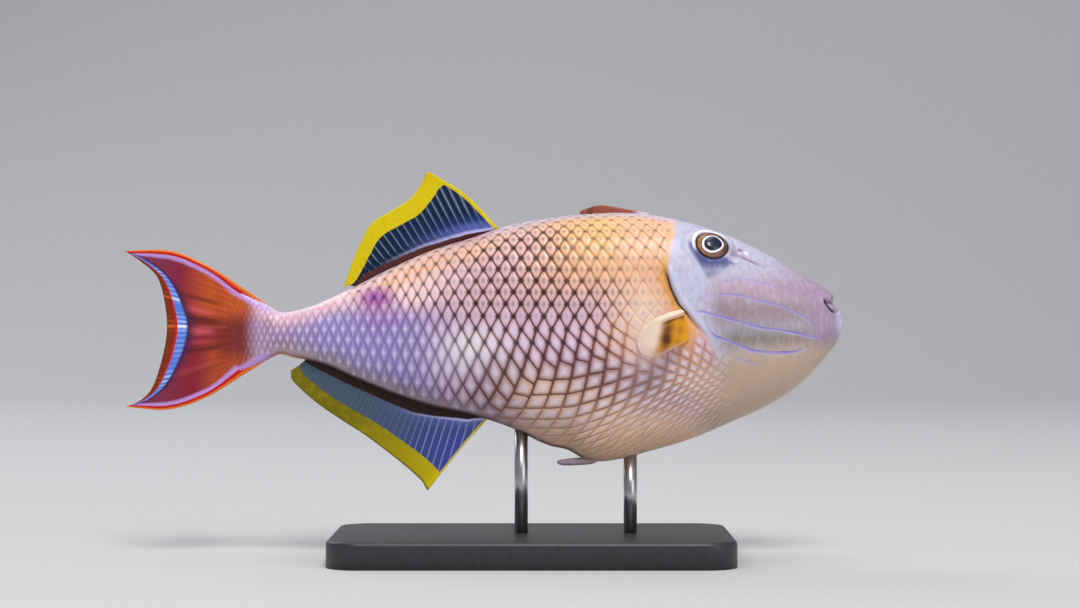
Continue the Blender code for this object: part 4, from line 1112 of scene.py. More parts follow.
def tail_material(tones):
    """Tail skin: red pigment with a pale violet line inside each edge and a blue one at the rear."""
    made, tree, shader = new_material("tail_fin_skin")
    field = fields(tree, "edge", "rear", "stripe", "ray")
    place = add_node(tree, "ShaderNodeTexCoord", out="Object")
    noise = add_node(tree, "ShaderNodeTexNoise", {"Vector": place, "Scale": 260.0, "Detail": 4.0})
    stray = add_node(tree, "ShaderNodeMath", {0: noise, 1: 0.5, 2: -0.25}, operation="MULTIPLY_ADD")
    edge = add_node(tree, "ShaderNodeMath", {0: field["edge"], 1: stray}, operation="ADD")
    rear = add_node(tree, "ShaderNodeMath", {0: field["rear"], 1: 0.12, 2: field["rear"]}, operation="MULTIPLY_ADD")
    blue = paint(
        tree,
        tones.tail_blue,
        ((field["stripe"], 0.2, 1.0, tones.tail_pale_blue), (field["stripe"], 1.0, 1.5, tones.white_and_highlight)),
    )
    outer = paint(tree, tones.tail_brown, ((field["stripe"], 0.45, 1.5, tones.tail_orange),))
    colour = paint(
        tree,
        clouded(tree, 0.85, 1.12, 120.0),
        (
            (edge, 3.7, 2.6, tones.tail_violet),
            (rear, 3.9, 2.5, tones.tail_navy),
            (rear, 2.55, 2.25, blue),
            (rear, 1.36, 1.22, tones.tail_rim),
            (rear, 1.08, 0.92, outer),
            (edge, 1.85, 1.6, tones.tail_rim),
            (edge, 0.85, 0.6, tones.tail_margin),
        ),
    )
    finish_skin(tree, shader, colour, 0.42, 0.06, 700.0, 0.0003, 0.03)
    return made


def made_material(name, dull, bright, grain, stretch, rough, metal, depth):
    """A made surface: two close tones in fine specks that also vary its gloss and raise it a little."""
    made, tree, shader = new_material(name)
    place = add_node(tree, "ShaderNodeTexCoord", out="Object")
    drawn = add_node(tree, "ShaderNodeMapping", {"Vector": place, "Scale": stretch})
    speck = add_node(tree, "ShaderNodeTexNoise", {"Vector": drawn, "Scale": grain, "Detail": 4.0})
    tree.links.new(paint(tree, dull, ((speck, 0.35, 0.7, bright),)), shader.inputs["Base Color"])
    limits = {"Value": speck, "To Min": rough - 0.06, "To Max": rough + 0.06}
    tree.links.new(add_node(tree, "ShaderNodeMapRange", limits), shader.inputs["Roughness"])
    bump = add_node(tree, "ShaderNodeBump", {"Height": speck, "Strength": 0.25, "Distance": depth})
    tree.links.new(bump, shader.inputs["Normal"])
    shader.inputs["Metallic"].default_value = metal
    return made


# Width of the yellow margin and of the brown foot, from the front of each fin to its rear.
FIN_BANDS = {
    "second_dorsal_fin": (
        ((0.0, 8.2), (0.25, 6.8), (0.6, 6.3), (0.8, 5.0), (1.0, 3.0)),
        ((0.0, 0.2), (0.12, 1.3), (0.5, 2.1), (0.85, 1.7), (1.0, 0.3)),
        1.5,
    ),
    "anal_fin": (
        ((0.0, 8.2), (0.3, 7.3), (0.6, 5.6), (0.8, 4.9), (1.0, 4.2)),
        ((0.0, 0.8), (0.12, 3.0), (0.4, 4.3), (0.8, 3.3), (1.0, 0.9)),
        0.95,
    ),
}


# Rays of the upright fins: X along the root, how far a ray leans back for its height, its number.
FIN_RAYS = {
    "second_dorsal_fin": ((-54.0, 0.95, 25.5), (-35.0, 0.78, 17.4), (-20.0, 0.58, 10.9), (6.0, 0.42, 0.0)),
    "anal_fin": ((-73.0, 0.95, 40.0), (-60.0, 0.8, 31.0), (-45.0, 0.6, 21.5), (-20.0, 0.33, 9.3), (4.0, 0.28, 0.0)),
}


def ray_order(place, rays, lines):
    """Which ray each place of an upright fin lies on, as rays leave the root and lean back."""
    roots = sorted(ray[0] for ray in rays)
    root_x, leans, numbers = zip(*lines)
    start = place[:, 0]
    for step in range(12):
        height = np.abs(place[:, 1] - np.interp(start, *zip(*roots)))
        start = place[:, 0] + height * np.interp(start, root_x, leans)
    return np.interp(start, root_x, numbers)


def painted_material(name, low, high, scale, rough, coat, grain):
    """Small parts of skin that carry their own colours."""
    made, tree, shader = new_material(name)
    finish_skin(tree, shader, clouded(tree, low, high, scale), rough, coat, grain, 0.00015)
    return made


def tail_colours(x, z, v, tones):
    """Red and orange of the tail, with painted shade in the creases of its folds and painted highlights on their
    crests, fading into the violet of the tail base.
    """
    colours = np.broadcast_to(linear(tones.tail_red), (len(x), 3)).copy()
    colours = mix(colours, tones.tail_orange, 0.95 * smooth_step(-116, -101, x) * smooth_step(82, 93, z + 0.3 * (x + 100)))
    colours = mix(colours, tones.tail_orange, 0.75 * smooth_step(-110, -98, x) * smooth_step(86, 78, z))
    # Painted highlights on the crests of the tail's folds.
    for middle, width, share in ((0.38, 0.02, 0.6), (0.5, 0.022, 0.85), (0.56, 0.012, 0.3), (0.7, 0.02, 0.25)):
        colours = mix(colours, tones.tail_pink_highlight, share * hump(v - middle, width) * smooth_step(-98, -106, x))
    # Painted shade in the creases of the tail's folds.
    for middle, width, share in ((0.31, 0.016, 0.6), (0.43, 0.022, 0.85), (0.455, 0.016, 0.6), (0.6, 0.015, 0.8), (0.72, 0.02, 0.3)):
        colours = mix(colours, tones.tail_dark_and_fold_shade, share * hump(v - middle, width) * smooth_step(-94, -100, x))
    colours = mix(colours, tones.tail_dark_and_fold_shade, 0.45 * spot(x, z, -97, 85, 5.5, 7.0))
    colours = mix(colours, tones.tail_mauve, 0.35 * smooth_step(-110, -124, x))
    fine = 0.5 + 0.5 * np.cos(2 * math.pi * 62 * v)
    colours = mix(colours, tones.tail_dark_and_fold_shade, 0.22 * fine * smooth_step(-92, -100, x))
    scaled = smooth_step(-103, -96, x)
    colours = mix(colours, tones.tail_scales, scaled)
    colours = mix(colours, tones.tail_orange, scaled * (0.85 * smooth_step(87, 95, z) + 0.5 * smooth_step(80, 73, z)))
    return mix(colours, tones.stem, smooth_step(-92, -85.0, x))


def upright_fin(name, rays, sizes_of, shader, stands_for, tones, seat_waver=0.5):
    """A fin in the middle plane of the fish, with a faint sideways wave."""
    across, along, thick, ridge, count = sizes_of
    mesh, place, half, face, u, v, values = fin_sheet(rays, across, along, thick, ridge, count, FIN_RAYS.get(name, ()))
    # The root runs on into the skin, so that no gap shows between them.
    inward = fan(rays, np.full_like(u, 0.1), v) - fan(rays, np.zeros_like(u), v)
    inward = inward / np.linalg.norm(inward, axis=1, keepdims=True)
    place = place - inward * (1.3 * np.clip(1 - u / 0.12, 0, 1))[:, None]
    sway = seat_waver * u * np.sin(2.2 * math.pi * v)
    centre = np.stack([place[:, 0], sway, place[:, 1]], axis=1)
    side = np.zeros_like(centre)
    side[:, 1] = 1.0
    x, z = place[:, 0], place[:, 1]
    if name in FIN_BANDS:
        band, foot, lead = FIN_BANDS[name]
        values["in_band"] = np.interp(v, *zip(*band)) - values["from_margin"]
        values["above_foot"] = values["from_root"] - np.interp(v, *zip(*foot))
        values["in_lead"] = lead - values["from_front"]
        order = values["ray"]
        beat = 0.5 - 0.5 * np.cos(2 * math.pi * order)
        values["ray"] = beat**20 * (0.25 + 0.75 * v) * smooth_step(0.8, 3.5, values["above_foot"])
        values["ray"] += 0.45 * beat**5 * smooth_step(0.5, 0.1, v) * smooth_step(4, 12, values["above_foot"])
        if name == "anal_fin":
            values["ray"] = beat**20 * (0.85 - 0.75 * smooth_step(0.25, 0.5, v)) * smooth_step(-1, 1, values["above_foot"])
            soft = 0.5 + 0.5 * np.sin(4 * math.pi * order) * np.sin(2.3 * order + 0.4 * x)
            values["ray"] += 0.16 * soft * smooth_step(0.3, 0.5, v)
        values["backwards"] = v
        values["streak"] = 0.5 + 0.5 * np.cos(6 * math.pi * order)
    elif name == "caudal_fin":
        wide = np.sin(np.clip(v, 0.02, 0.98) * math.pi)
        values["edge"] = np.minimum(values["from_front"], values["from_rear"])
        values["edge"] = values["edge"] / (1 + 0.6 * smooth_step(-104, -88, x))
        values["rear"] = values["from_margin"] / (0.55 + 2.95 * wide**1.6)
        values["stripe"] = (0.5 + 0.5 * np.cos(2 * math.pi * 44 * v)) * (0.6 + 0.4 * np.sin(37 * v) * np.sin(11 * v))
        values["stripe"] += 0.9 * hump(v - 0.345, 0.008) + 0.9 * hump(v - 0.482, 0.008)
        bumps = np.sin(2 * math.pi * u * 26 + math.pi * np.floor(v * 42)) * np.abs(np.sin(math.pi * v * 42))
        half = half + 0.16 * bumps * smooth_step(-108, -96, x) * smooth_step(0.02, 0.06, u)
        folds = hump(v - 0.44, 0.025) + 0.8 * hump(v - 0.6, 0.02) + 0.6 * hump(v - 0.31, 0.02) - 0.8 * hump(v - 0.5, 0.03)
        half = half * (1 - 0.3 * folds * smooth_step(0.15, 0.4, u))
        set_colour(mesh, tail_colours(x, z, v, tones))
    else:
        shade = np.broadcast_to(linear(tones.first_fin), (len(x), 3)).copy()
        shade = mix(shade, tones.first_fin_dark, smooth_step(130.6, 129.0, z) + 0.6 * hump(v - 0.75, 0.08))
        # The front of the fin takes the pale edge of the back, a painted highlight.
        set_colour(mesh, mix(shade, tones.rim, 0.85 * smooth_step(55, 60, x)))
    fold_fin(mesh, centre, side, half, face, values, u, v)
    piece = finish_piece(name, mesh, shader, stands_for)
    return piece


def hex_tone(name, about, code):
    return bpy.props.StringProperty(name=name, description=about, default=code)


class FishTones(bpy.types.PropertyGroup):
    """Colours of the fish, as sRGB hex."""

    flank: hex_tone("Flank", "Middle of the side", "D6ACC0")
    rear: hex_tone("Rear flank", "Side towards the tail", "A294CE")
    rear_top: hex_tone("Rear top", "Upper side towards the tail", "FFD6D4")
    pale_flank: hex_tone("Pale flank", "Pale part low on the side", "F4EAFF")
    low_flank: hex_tone("Low flank", "Low on the side", "A27C82")
    peach: hex_tone("Peach", "Fore flank", "F0B48E")
    gold: hex_tone("Gold", "Below the back", "F2BA68")
    gold_deep: hex_tone("Deep gold", "Behind the gill cover", "DE9818")
    rust: hex_tone("Rust", "Edge of the gill opening", "9A5A18")
    # Painted shadow under the pectoral fin.
    fin_pocket_shadow: hex_tone("Pocket", "Under the pectoral fin", "5C2E0C")
    back_orange: hex_tone("Back orange", "Below the second fin", "F6BE98")
    belly: hex_tone("Belly", "Belly", "F2C6A8")
    stem: hex_tone("Tail base", "Narrow part before the tail", "B48EB0")
    stem_pink: hex_tone("Tail base pink", "Top of it", "EDBAC0")
    low_grey: hex_tone("Low grey", "Above the rear lower fin", "B09A9C")
    magenta: hex_tone("Magenta", "Patch on the rear flank", "A040AC")
    fin_cream: hex_tone("Fin cream", "Pectoral fin", "FFEFDA")
    cream: hex_tone("Cream", "Behind the pectoral fin", "FFE6D0")
    # Pale edge of the back: a painted highlight.
    rim: hex_tone("Back rim", "Pale edge of the back", "D4CAE2")
    keel: hex_tone("Keel", "Dark edge of the belly", "3C241E")
    head: hex_tone("Head", "Head", "BCBCD4")
    nape: hex_tone("Nape", "Top of the head", "C2BCD6")
    cheek: hex_tone("Cheek", "Cheek", "907880")
    low_cheek: hex_tone("Low cheek", "Lower cheek", "7C7062")
    chin: hex_tone("Chin", "Chin and throat", "BAA28E")
    snout: hex_tone("Snout", "Round the mouth", "9E86A2")
    # Pale lips, partly a painted highlight along the front edge.
    lip_and_highlight: hex_tone("Lip", "Lips", "CCC8E8")
    # Painted shade under the eye.
    under_eye_shadow: hex_tone("Under the eye", "Blue shade", "34448C")
    painted_shade_under_eye: hex_tone("Eye shade", "Patch under the eye", "464E8C")
    face_pale: hex_tone("Pale mottling", "Pale flecks of the face", "DCD2E4")
    # White of the tail's stripes, and the painted highlights on the upper lid and the nostril.
    white_and_highlight: hex_tone("Upper lid", "Pale rim of the eye", "F4F0FA")
    lid_dark: hex_tone("Lid edge", "Dark edge of the eye", "2A1810")
    face_line: hex_tone("Cheek line", "Blue lines", "8E84CC")
    # Pale band beside the cheek lines, partly a painted highlight.
    face_line_pale_and_highlight: hex_tone("Cheek line glow", "Pale skin beside the lines", "C2B8DC")
    # Painted shade on the upper side of the cheek lines.
    face_line_shade_edge: hex_tone("Cheek line edge", "Dark edge", "6A56A4")
    # Painted shade in the groove before the eye and the rear nostril.
    groove_shade_red: hex_tone("Eye fold", "Groove before the eye", "7A4450")
    # Painted shade in the gill slit.
    gill_slit_shade: hex_tone("Fold", "Gill slit and folds", "2A1008")
    # Painted shadow in the gap of the mouth.
    mouth: hex_tone("Mouth", "Gap of the mouth", "140A0E")
    line: hex_tone("Plate line", "Lines between plates", "683436")
    line_spot: hex_tone("Plate corner", "Dark corners of the plates", "1C0A0E")
    rear_line: hex_tone("Rear plate line", "Lines towards the tail", "5E4E94")
    low_line: hex_tone("Low plate line", "Lines low on the side", "7A5248")
    rust_line: hex_tone("Front plate line", "Lines near the pectoral fin", "C07E50")
    plate_dot: hex_tone("Plate dot", "Dot on a plate", "74647E")
    # Pale plate middle, partly a painted highlight.
    plate_pale_centre_and_highlight: hex_tone("Plate glow", "Bright middle of a lower plate", "E4DCF2")
    plate_pale: hex_tone("Plate halo", "Pale ring round the dot", "FFD6BC")
    fin_navy: hex_tone("Fin navy", "Dorsal membrane", "061E3C")
    fin_blue: hex_tone("Fin blue", "Dorsal membrane near its foot", "183676")
    fin_light: hex_tone("Fin light blue", "Membrane at its foot", "5E68B4")
    fin_teal: hex_tone("Fin teal", "Anal membrane", "354553")
    fin_teal_light: hex_tone("Fin light teal", "Anal membrane near its foot", "3C4880")
    fin_base_pale: hex_tone("Fin base", "Pale line at the base", "C4C0F0")
    fin_ray: hex_tone("Fin ray", "Rays", "A8B8DC")
    fin_yellow: hex_tone("Fin yellow", "Dorsal margin", "D6C000")
    # Duller yellow of the anal fin: partly its own colour, partly painted shade, as the fin lies below the body.
    fin_yellow_shade: hex_tone("Fin dull yellow", "Anal margin", "686000")
    fin_yellow_deep: hex_tone("Fin deep yellow", "Margin folds", "C0A800")
    fin_foot: hex_tone("Dorsal foot", "Fleshy foot of the dorsal fin", "4E2622")
    fin_brown: hex_tone("Anal foot", "Fleshy foot of the anal fin", "2A1614")
    fin_violet: hex_tone("Fin violet", "Anal membrane in front", "3C4494")
    first_fin: hex_tone("First fin", "First dorsal fin", "904A38")
    first_fin_dark: hex_tone("First fin fold", "Its folds", "4E221C")
    pale_cream: hex_tone("Pale cream", "Palest plates low on the side", "FAF0DC")
    high_cheek: hex_tone("High cheek", "Cheek below the eye", "B89CAE")
    tail_scales: hex_tone("Tail scales", "Scaly root of the tail", "802A24")
    tail_mauve: hex_tone("Tail mauve", "Tips of the tail", "744C74")
    tail_red: hex_tone("Tail red", "Tail", "8C2036")
    tail_orange: hex_tone("Tail orange", "Tail", "CC5A20")
    # Pink of the painted highlights on the tail's folds.
    tail_pink_highlight: hex_tone("Tail pink", "Bright rays", "DC5C66")
    # Dark of the tail's rays, plate lines and root, and of the painted shade in its folds.
    tail_dark_and_fold_shade: hex_tone("Tail dark", "Folds of the tail", "5A1C1C")
    tail_rim: hex_tone("Tail rim", "Red line near the edge", "C41A12")
    tail_margin: hex_tone("Tail margin", "Outermost edge", "E8761E")
    tail_brown: hex_tone("Tail brown", "Rear edge", "7A2C10")
    tail_violet: hex_tone("Tail violet", "Pale bands", "BE92D6")
    tail_blue: hex_tone("Tail blue", "Blue band", "5278D8")
    tail_pale_blue: hex_tone("Tail pale blue", "Stripes of the blue band", "A8C6F4")
    tail_navy: hex_tone("Tail navy", "Inner edge of the blue band", "402048")


class FishSizes(bpy.types.PropertyGroup):
    """Sizes that a user would change."""

    skin_depth: bpy.props.FloatProperty(
        name="Skin depth", description="How far the skin lies below the solids", default=0.2 * MM, subtype="DISTANCE", unit="LENGTH"
    )
    plate_height: bpy.props.FloatProperty(
        name="Plate height", description="Height of a scale plate", default=0.45 * MM, subtype="DISTANCE", unit="LENGTH"
    )
    skin_around: bpy.props.IntProperty(name="Skin grid around", description="Faces round the body", default=320)
    skin_along: bpy.props.IntProperty(name="Skin grid along", description="Faces along the body", default=290)
    base_edge: bpy.props.FloatProperty(
        name="Base edge", description="Rounding of the base", default=1.6 * MM, subtype="DISTANCE", unit="LENGTH"
    )


class FISH_OT_skin(bpy.types.Operator):
    """Makes the skin of the head, trunk and tail base as one piece"""

    bl_idname = "fish.skin"
    bl_label = "Skin"

    def execute(self, context):
        make_skin(context.scene.fish_tones, context.scene.fish_sizes)
        return {"FINISHED"}


class FISH_OT_plates(bpy.types.Operator):
    """Makes the scale plates of both sides"""

    bl_idname = "fish.plates"
    bl_label = "Scale plates"

    def execute(self, context):
        make_plates(context.scene.fish_tones, context.scene.fish_sizes)
        return {"FINISHED"}


class FISH_OT_upright_fins(bpy.types.Operator):
    """Makes the second dorsal, anal, first dorsal and tail fins"""

    bl_idname = "fish.upright_fins"
    bl_label = "Upright fins"

    def execute(self, context):
        tones = context.scene.fish_tones
        dorsal_blues = (tones.fin_navy, tones.fin_blue, tones.fin_light)
        dorsal = fin_material(
            "dorsal_membrane", tones, tones.fin_yellow, dorsal_blues, tones.fin_navy, tones.fin_foot, 0.75
        )
        anal_blues = (tones.fin_violet, tones.fin_teal_light, tones.fin_light)
        # The anal fin's duller yellow is partly painted shade.
        anal = fin_material(
            "anal_membrane", tones, tones.fin_yellow_shade, anal_blues, tones.fin_teal, tones.fin_brown, 0.48
        )
        tail = tail_material(tones)
        rust = painted_material("first_fin_rust_skin", 0.85, 1.1, 500.0, 0.5, 0.05, 900.0)
        thick = (0.9, 0.85, 0.42, 0.3, 0.22)
        for name, rays, sizes_of, shader, waver in (
            ("second_dorsal_fin", SECOND_DORSAL_RAYS, (340, 40, thick, 0.2, 24), dorsal, 0.5),
            ("anal_fin", ANAL_RAYS, (420, 36, thick, 0.18, 34), anal, 0.5),
            ("caudal_fin", CAUDAL_RAYS, (300, 90, (0.3, 0.45, 0.5, 0.42, 0.22), 0.15, 22), tail, 0.8),
            ("first_dorsal_fin", FIRST_DORSAL_RAYS, (60, 12, (1.1, 1.1, 1.0, 0.8, 0.6), 0.1, 5), rust, 0.0),
        ):
            upright_fin(name, rays, sizes_of, shader, [name], tones, waver)
        return {"FINISHED"}


class FISH_OT_pectoral_fins(bpy.types.Operator):
    """Makes the two pectoral fins"""

    bl_idname = "fish.pectoral_fins"
    bl_label = "Pectoral fins"

    def execute(self, context):
        tones = context.scene.fish_tones
        shader = painted_material("pectoral_membrane", 0.93, 1.06, 150.0, 0.38, 0.12, 1200.0)
        for name, turn in (("pectoral_fin_right", -1.0), ("pectoral_fin_left", 1.0)):
            mesh, place, half, face, u, v, values = fin_sheet(
                PECTORAL_RAYS, 160, 36, (0.6, 0.45, 0.32, 0.25, 0.2), 0.1, 12
            )
            near = fan(PECTORAL_RAYS, np.clip(u + 0.01, 0, 1), v) - fan(PECTORAL_RAYS, np.clip(u - 0.01, 0, 1), v)
            over = fan(PECTORAL_RAYS, u, np.clip(v + 0.01, 0, 1)) - fan(PECTORAL_RAYS, u, np.clip(v - 0.01, 0, 1))
            side = np.cross(near, over)
            side /= np.linalg.norm(side, axis=1, keepdims=True)
            half = half + 0.7 * hump(v - 0.1, 0.07) * smooth_step(0.9, 0.4, u) * np.clip(values["from_front"] / 0.7, 0, 1)
            x, z = place[:, 0], place[:, 2]
            fine = 0.5 + 0.5 * np.cos(2 * math.pi * 12 * v)
            colours = np.broadcast_to(linear(tones.fin_cream), (len(x), 3)).copy()
            colours = mix(colours, tones.peach, 0.35 * fine * smooth_step(0.2, 0.3, v) + 0.35 * smooth_step(0.2, 0.1, v))
            flank = markings(x, z, tones)
            thin = 0.9 * smooth_step(0.5, 0.95, u) * smooth_step(0.15, 0.3, v)
            colours = colours + (flank - colours) * thin[:, None]
            root = smooth_step(63.0, 67.0, x - 0.25 * (z - 86)) * smooth_step(0.16, 0.24, v)
            colours = mix(colours, tones.gold_deep, root)
            # Painted shadow on the fin's root: darkest under its leading ray, in soft blotches.
            blotch = np.sin(0.9 * x + 0.5 * z) * np.sin(0.8 * z - 0.6 * x + 1.0)
            brown = 0.95 * spot(x, z, 66.6, 84.0, 2.6, 5.5) + 0.6 * hump(v - 0.25, 0.05) + 0.3 * smooth_step(-0.5, 0.9, blotch)
            colours = mix(colours, tones.fin_pocket_shadow, root * brown)
            away = root * np.maximum(smooth_step(0.85, 1.0, v), smooth_step(73.0, 76.0, x))
            colours = colours + (flank - colours) * (0.75 * away)[:, None]
            set_colour(mesh, mix(colours, tones.peach, 0.4 * hump(v - 0.2, 0.03)))
            flip = np.array((1.0, turn, 1.0))
            fold_fin(mesh, place * flip, side * flip, half, face, values, u, v)
            piece = finish_piece(name, mesh, shader, [name])
        return {"FINISHED"}


class FISH_OT_pelvic_spine(bpy.types.Operator):
    """Makes the blunt stub at the end of the belly keel"""

    bl_idname = "fish.pelvic_spine"
    bl_label = "Pelvic spine"

    def execute(self, context):
        shader = painted_material("pelvic_stub_skin", 0.85, 1.1, 500.0, 0.5, 0.08, 900.0)
        mesh, across, along = sheet(24, 40)
        rows = np.array(PELVIC_ROWS)
        row = spline(np.linspace(0, 1, len(rows)), rows, along)
        radius = row[:, 2] * np.sqrt(np.clip(1 - (2 * along - 1) ** 16, 0, 1))
        radius = radius * (1 + 0.08 * np.sin(9 * along * math.pi) * np.cos(2 * math.pi * across * 3))
        turn = 2 * math.pi * across
        points = np.stack([row[:, 0], radius * np.cos(turn), row[:, 1] + radius * np.sin(turn)], axis=1)
        set_places(mesh, points)
        set_map(mesh, 0.02 + 0.96 * across, 0.02 + 0.96 * along)
        stub = np.broadcast_to(linear(context.scene.fish_tones.low_grey), points.shape)
        set_colour(mesh, mix(stub, context.scene.fish_tones.snout, smooth_step(0.3, 0.9, along)))
        close_up(mesh)
        piece = finish_piece("pelvic_spine", mesh, shader, ["pelvic_spine"])
        return {"FINISHED"}


def eye_material():
    """Fish eye: a clear wet cornea over brown iris, white ring and deep blue pupil."""
    made, tree, shader = new_material("wet_eye")
    field = fields(tree, "from_axis", "from_pupil", "ring", "warm")
    place = add_node(tree, "ShaderNodeTexCoord", out="Object")
    noise = add_node(tree, "ShaderNodeTexNoise", {"Vector": place, "Scale": 1300.0, "Detail": 5.0})
    brown = paint(tree, "7A4A32", ((field["warm"], 0.5, 1.0, "B87E50"), (field["warm"], 0.4, 0.0, "43241C")))
    brown = paint(tree, brown, ((noise, 0.5, 0.9, "D0A888"), (noise, 0.5, 0.2, "24100A")))
    colour = paint(
        tree,
        brown,
        (
            (field["ring"], 1.12, 1.03, "2A120A"),
            (field["ring"], 1.02, 0.96, "F2ECF6"),
            (field["from_pupil"], 1.06, 1.01, "140A14"),
            (field["from_pupil"], 1.0, 0.92, "071230"),
            (field["from_pupil"], 0.7, 0.1, "0E2448"),
            (field["from_axis"], 0.84, 0.94, "2C140C"),
        ),
    )
    tree.links.new(colour, shader.inputs["Base Color"])
    shader.inputs["Roughness"].default_value = 0.3
    shader.inputs["IOR"].default_value = 1.36
    shader.inputs["Coat Weight"].default_value = 0.5
    shader.inputs["Coat Roughness"].default_value = 0.07
    return made


class FISH_OT_eyes(bpy.types.Operator):
    """Makes both eyes"""

    bl_idname = "fish.eyes"
    bl_label = "Eyes"

    def execute(self, context):
        shader = eye_material()
        middle, forward, upward, out = eye_frame()
        centre = middle + out * (EYE_PROUD - EYE_HALF[2])
        for name, side in (("eye_right", 1.0), ("eye_left", -1.0)):
            mesh, across, along = sheet(96, 80)
            polar = np.clip(along, 0, 1) * math.pi
            turn = across * 2 * math.pi
            a = np.sin(polar) * np.cos(turn)
            b = np.sin(polar) * np.sin(turn)
            c = np.cos(polar)
            points = centre + forward * (EYE_HALF[0] * a)[:, None]
            points = points + upward * (EYE_HALF[1] * b)[:, None] + out * (EYE_HALF[2] * c)[:, None]
            x, z = points[:, 0] - EYE[0], points[:, 2] - EYE[1]
            reach = eye_reach(points)
            # The pupil comes to a blunt point towards the snout.
            angle = np.arctan2(z - 0.3, x)
            pupil = np.hypot(x / 3.05, (z - 0.3) / 2.55) / (1 + 0.16 * hump(angle + 0.15, 0.45))
            set_value(mesh, "from_axis", np.where(c > 0, reach, 2.0))
            set_value(mesh, "from_pupil", np.where(c > 0, pupil, 9.0))
            set_value(mesh, "ring", np.where(c > 0, pupil / (1.28 + 0.1 * np.cos(angle - 4.3)), 9.0))
            set_value(mesh, "warm", 0.5 + 0.5 * np.cos(angle - 3.5))
            dome = 0.25 * smooth_step(1.2, 0.5, pupil) - 0.2 * hump(pupil - 1.75, 0.3)
            points = points + out * (dome * (c > 0))[:, None]
            set_places(mesh, points * np.array((1.0, side, 1.0)))
            set_map(mesh, 0.02 + 0.96 * across, 0.02 + 0.96 * along)
            close_up(mesh)
            piece = finish_piece(name, mesh, shader, [name])
        return {"FINISHED"}


class FISH_OT_stand(bpy.types.Operator):
    """Makes the base and rods of the display stand"""

    bl_idname = "fish.stand"
    bl_label = "Display stand"

    def execute(self, context):
        # Powder-coated board: sprayed and baked, a dark satin with a fine orange peel 1.2 mm across.
        dark = made_material("powder_coated_board", "26272B", "313237", 800.0, (1.0, 1.0, 1.0), 0.42, 0.0, 0.00008)
        low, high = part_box("stand_base")
        work = bmesh.new()
        bmesh.ops.create_cube(work, size=1.0)
        bmesh.ops.scale(work, verts=work.verts, vec=high - low)
        bmesh.ops.translate(work, verts=work.verts, vec=(low + high) / 2)
        upright = [e for e in work.edges if abs(e.verts[0].co.z - e.verts[1].co.z) > 0.001]
        bmesh.ops.bevel(work, geom=upright, offset=0.012, segments=16, profile=0.5, affect="EDGES", material=-1)
        rim = [e for e in work.edges if min(v.co.z for v in e.verts) > high.z - 1e-6]
        edge = context.scene.fish_sizes.base_edge
        bmesh.ops.bevel(work, geom=rim, offset=edge, segments=6, profile=0.5, affect="EDGES", material=-1)
        mesh = bpy.data.meshes.new("stand_base")
        work.to_mesh(mesh)
        work.free()
        piece = finish_piece("stand_base", mesh, dark, ["stand_base"])
        # Brushed stainless rod: drawn bar brushed along its length, scratches 0.2 mm wide and 10 mm long.
        steel = made_material("brushed_stainless_rod", "A8A9AD", "C6C6C8", 5000.0, (1.0, 1.0, 0.02), 0.27, 1.0, 0.00001)
        for name in ("stand_rod_1", "stand_rod_2"):
            low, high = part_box(name)
            work = bmesh.new()
            bmesh.ops.create_cone(
                work,
                cap_ends=True,
                segments=40,
                radius1=(high.x - low.x) / 2,
                radius2=(high.x - low.x) / 2,
                depth=high.z - low.z + 0.0003,
            )
            bmesh.ops.translate(work, verts=work.verts, vec=(low + high) / 2)
            mesh = bpy.data.meshes.new(name)
            work.to_mesh(mesh)
            work.free()
            piece = finish_piece(name, mesh, steel, [name])
        return {"FINISHED"}


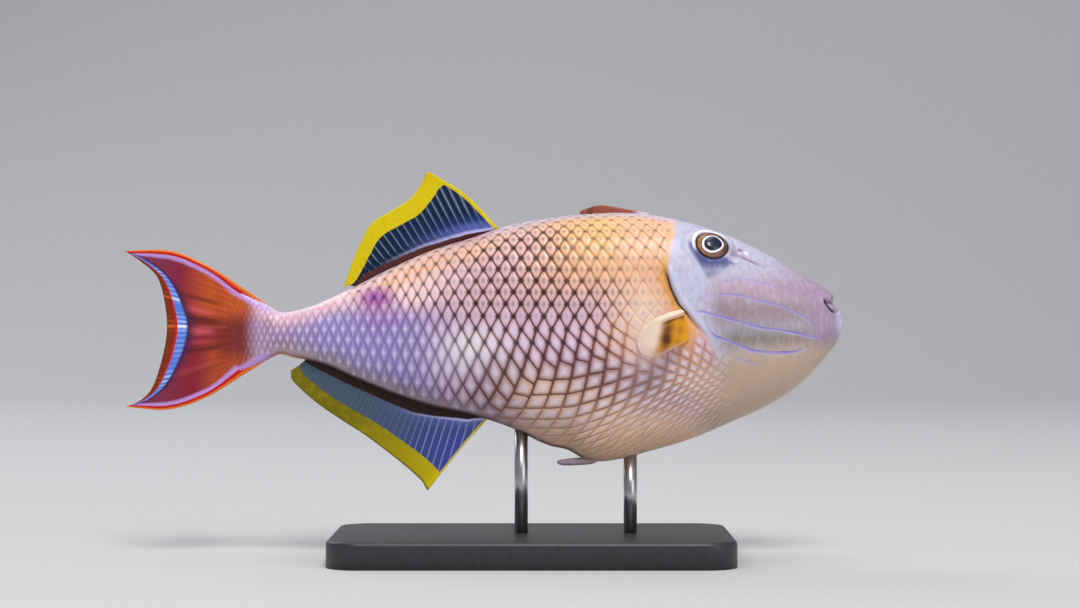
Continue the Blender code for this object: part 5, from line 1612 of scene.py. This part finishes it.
class FISH_OT_stage(bpy.types.Operator):
    """Sets the floor, the lights and the camera"""

    bl_idname = "fish.stage"
    bl_label = "Stage"

    def execute(self, context):
        # A sheet of paper that runs along the floor and bends up into a wall, with no line between.
        work = bmesh.new()
        front = [work.verts.new((x, -4.0, 0.0)) for x in (-6.0, 6.0)]
        edge = work.edges.new(front)
        grown = bmesh.ops.extrude_edge_only(work, edges=[edge])
        moved = [each for each in grown["geom"] if isinstance(each, bmesh.types.BMVert)]
        bmesh.ops.translate(work, verts=moved, vec=(0.0, 5.6, 0.0))
        last = [each for each in grown["geom"] if isinstance(each, bmesh.types.BMEdge)]
        spun = bmesh.ops.spin(
            work, geom=last, cent=(0.0, 1.6, 1.5), axis=(1.0, 0.0, 0.0), angle=math.pi / 2, steps=24
        )
        ends = [each for each in spun["geom_last"] if isinstance(each, bmesh.types.BMEdge)]
        risen = bmesh.ops.extrude_edge_only(work, edges=ends)
        top = [each for each in risen["geom"] if isinstance(each, bmesh.types.BMVert)]
        bmesh.ops.translate(work, verts=top, vec=(0.0, 0.0, 3.0))
        bmesh.ops.remove_doubles(work, verts=work.verts, dist=0.0001)
        bmesh.ops.recalc_face_normals(work, faces=work.faces)
        mesh = bpy.data.meshes.new("floor")
        work.to_mesh(mesh)
        work.free()
        mesh.polygons.foreach_set("use_smooth", np.ones(len(mesh.polygons), bool))
        floor = bpy.data.objects.new("floor", mesh)
        # Studio paper: matte, with a fine tooth 2 mm across.
        paper = made_material("studio_paper", "C8C8CA", "CBCBCC", 500.0, (1.0, 1.0, 1.0), 0.8, 0.0, 0.00002)
        mesh.materials.append(paper)
        context.scene.collection.objects.link(floor)
        context.scene.view_settings.view_transform = "Standard"
        world = bpy.data.worlds.new("studio")
        world.use_nodes = True
        world.node_tree.nodes["Background"].inputs["Color"].default_value = (0.78, 0.80, 0.84, 1.0)
        world.node_tree.nodes["Background"].inputs["Strength"].default_value = 0.42
        context.scene.world = world
        aim = Vector((0.01, 0.0, 0.09))
        for name, place, size, power, warm in (
            ("key", (0.3, -1.7, 2.1), 0.9, 44.0, (1.0, 0.98, 0.95)),
            ("fill", (2.0, -2.0, 0.8), 1.6, 15.0, (0.93, 0.96, 1.0)),
            ("top", (0.05, 0.1, 2.2), 1.2, 12.0, (1.0, 1.0, 1.0)),
            ("rear", (-1.2, 1.4, 1.6), 1.2, 14.0, (0.95, 0.97, 1.0)),
        ):
            light = bpy.data.lights.new(name, "AREA")
            light.size = size
            light.energy = power
            light.color = warm
            lamp = bpy.data.objects.new(name, light)
            lamp.location = place
            lamp.rotation_euler = (aim - Vector(place)).to_track_quat("-Z", "Y").to_euler()
            context.scene.collection.objects.link(lamp)
        view = bpy.data.cameras.new("camera")
        view.lens = 85.0
        view.sensor_width = 36.0
        camera = bpy.data.objects.new("camera", view)
        camera.location = (0.02106, -0.9589, 0.0959)
        camera.rotation_euler = (math.pi / 2, 0.0, 0.0)
        context.scene.collection.objects.link(camera)
        context.scene.camera = camera
        return {"FINISHED"}


class FISH_PT_panel(bpy.types.Panel):
    """Lists the pieces of the fish"""

    bl_idname = "FISH_PT_panel"
    bl_label = "Triggerfish"
    bl_space_type = "VIEW_3D"
    bl_region_type = "UI"
    bl_category = "Triggerfish"

    def draw(self, context):
        for operator in OPERATORS:
            self.layout.operator(operator.bl_idname)


OPERATORS = (
    FISH_OT_skin,
    FISH_OT_plates,
    FISH_OT_upright_fins,
    FISH_OT_pectoral_fins,
    FISH_OT_pelvic_spine,
    FISH_OT_eyes,
    FISH_OT_stand,
    FISH_OT_stage,
)
CLASSES = (FishTones, FishSizes, *OPERATORS, FISH_PT_panel)


def register():
    for each in CLASSES:
        bpy.utils.register_class(each)
    bpy.types.Scene.fish_tones = bpy.props.PointerProperty(type=FishTones)
    bpy.types.Scene.fish_sizes = bpy.props.PointerProperty(type=FishSizes)


def unregister():
    del bpy.types.Scene.fish_sizes
    del bpy.types.Scene.fish_tones
    for each in reversed(CLASSES):
        bpy.utils.unregister_class(each)


def main():
    register()
    for operator in OPERATORS:
        family, name = operator.bl_idname.split(".")
        getattr(getattr(bpy.ops, family), name)()


if __name__ == "__main__":
    main()
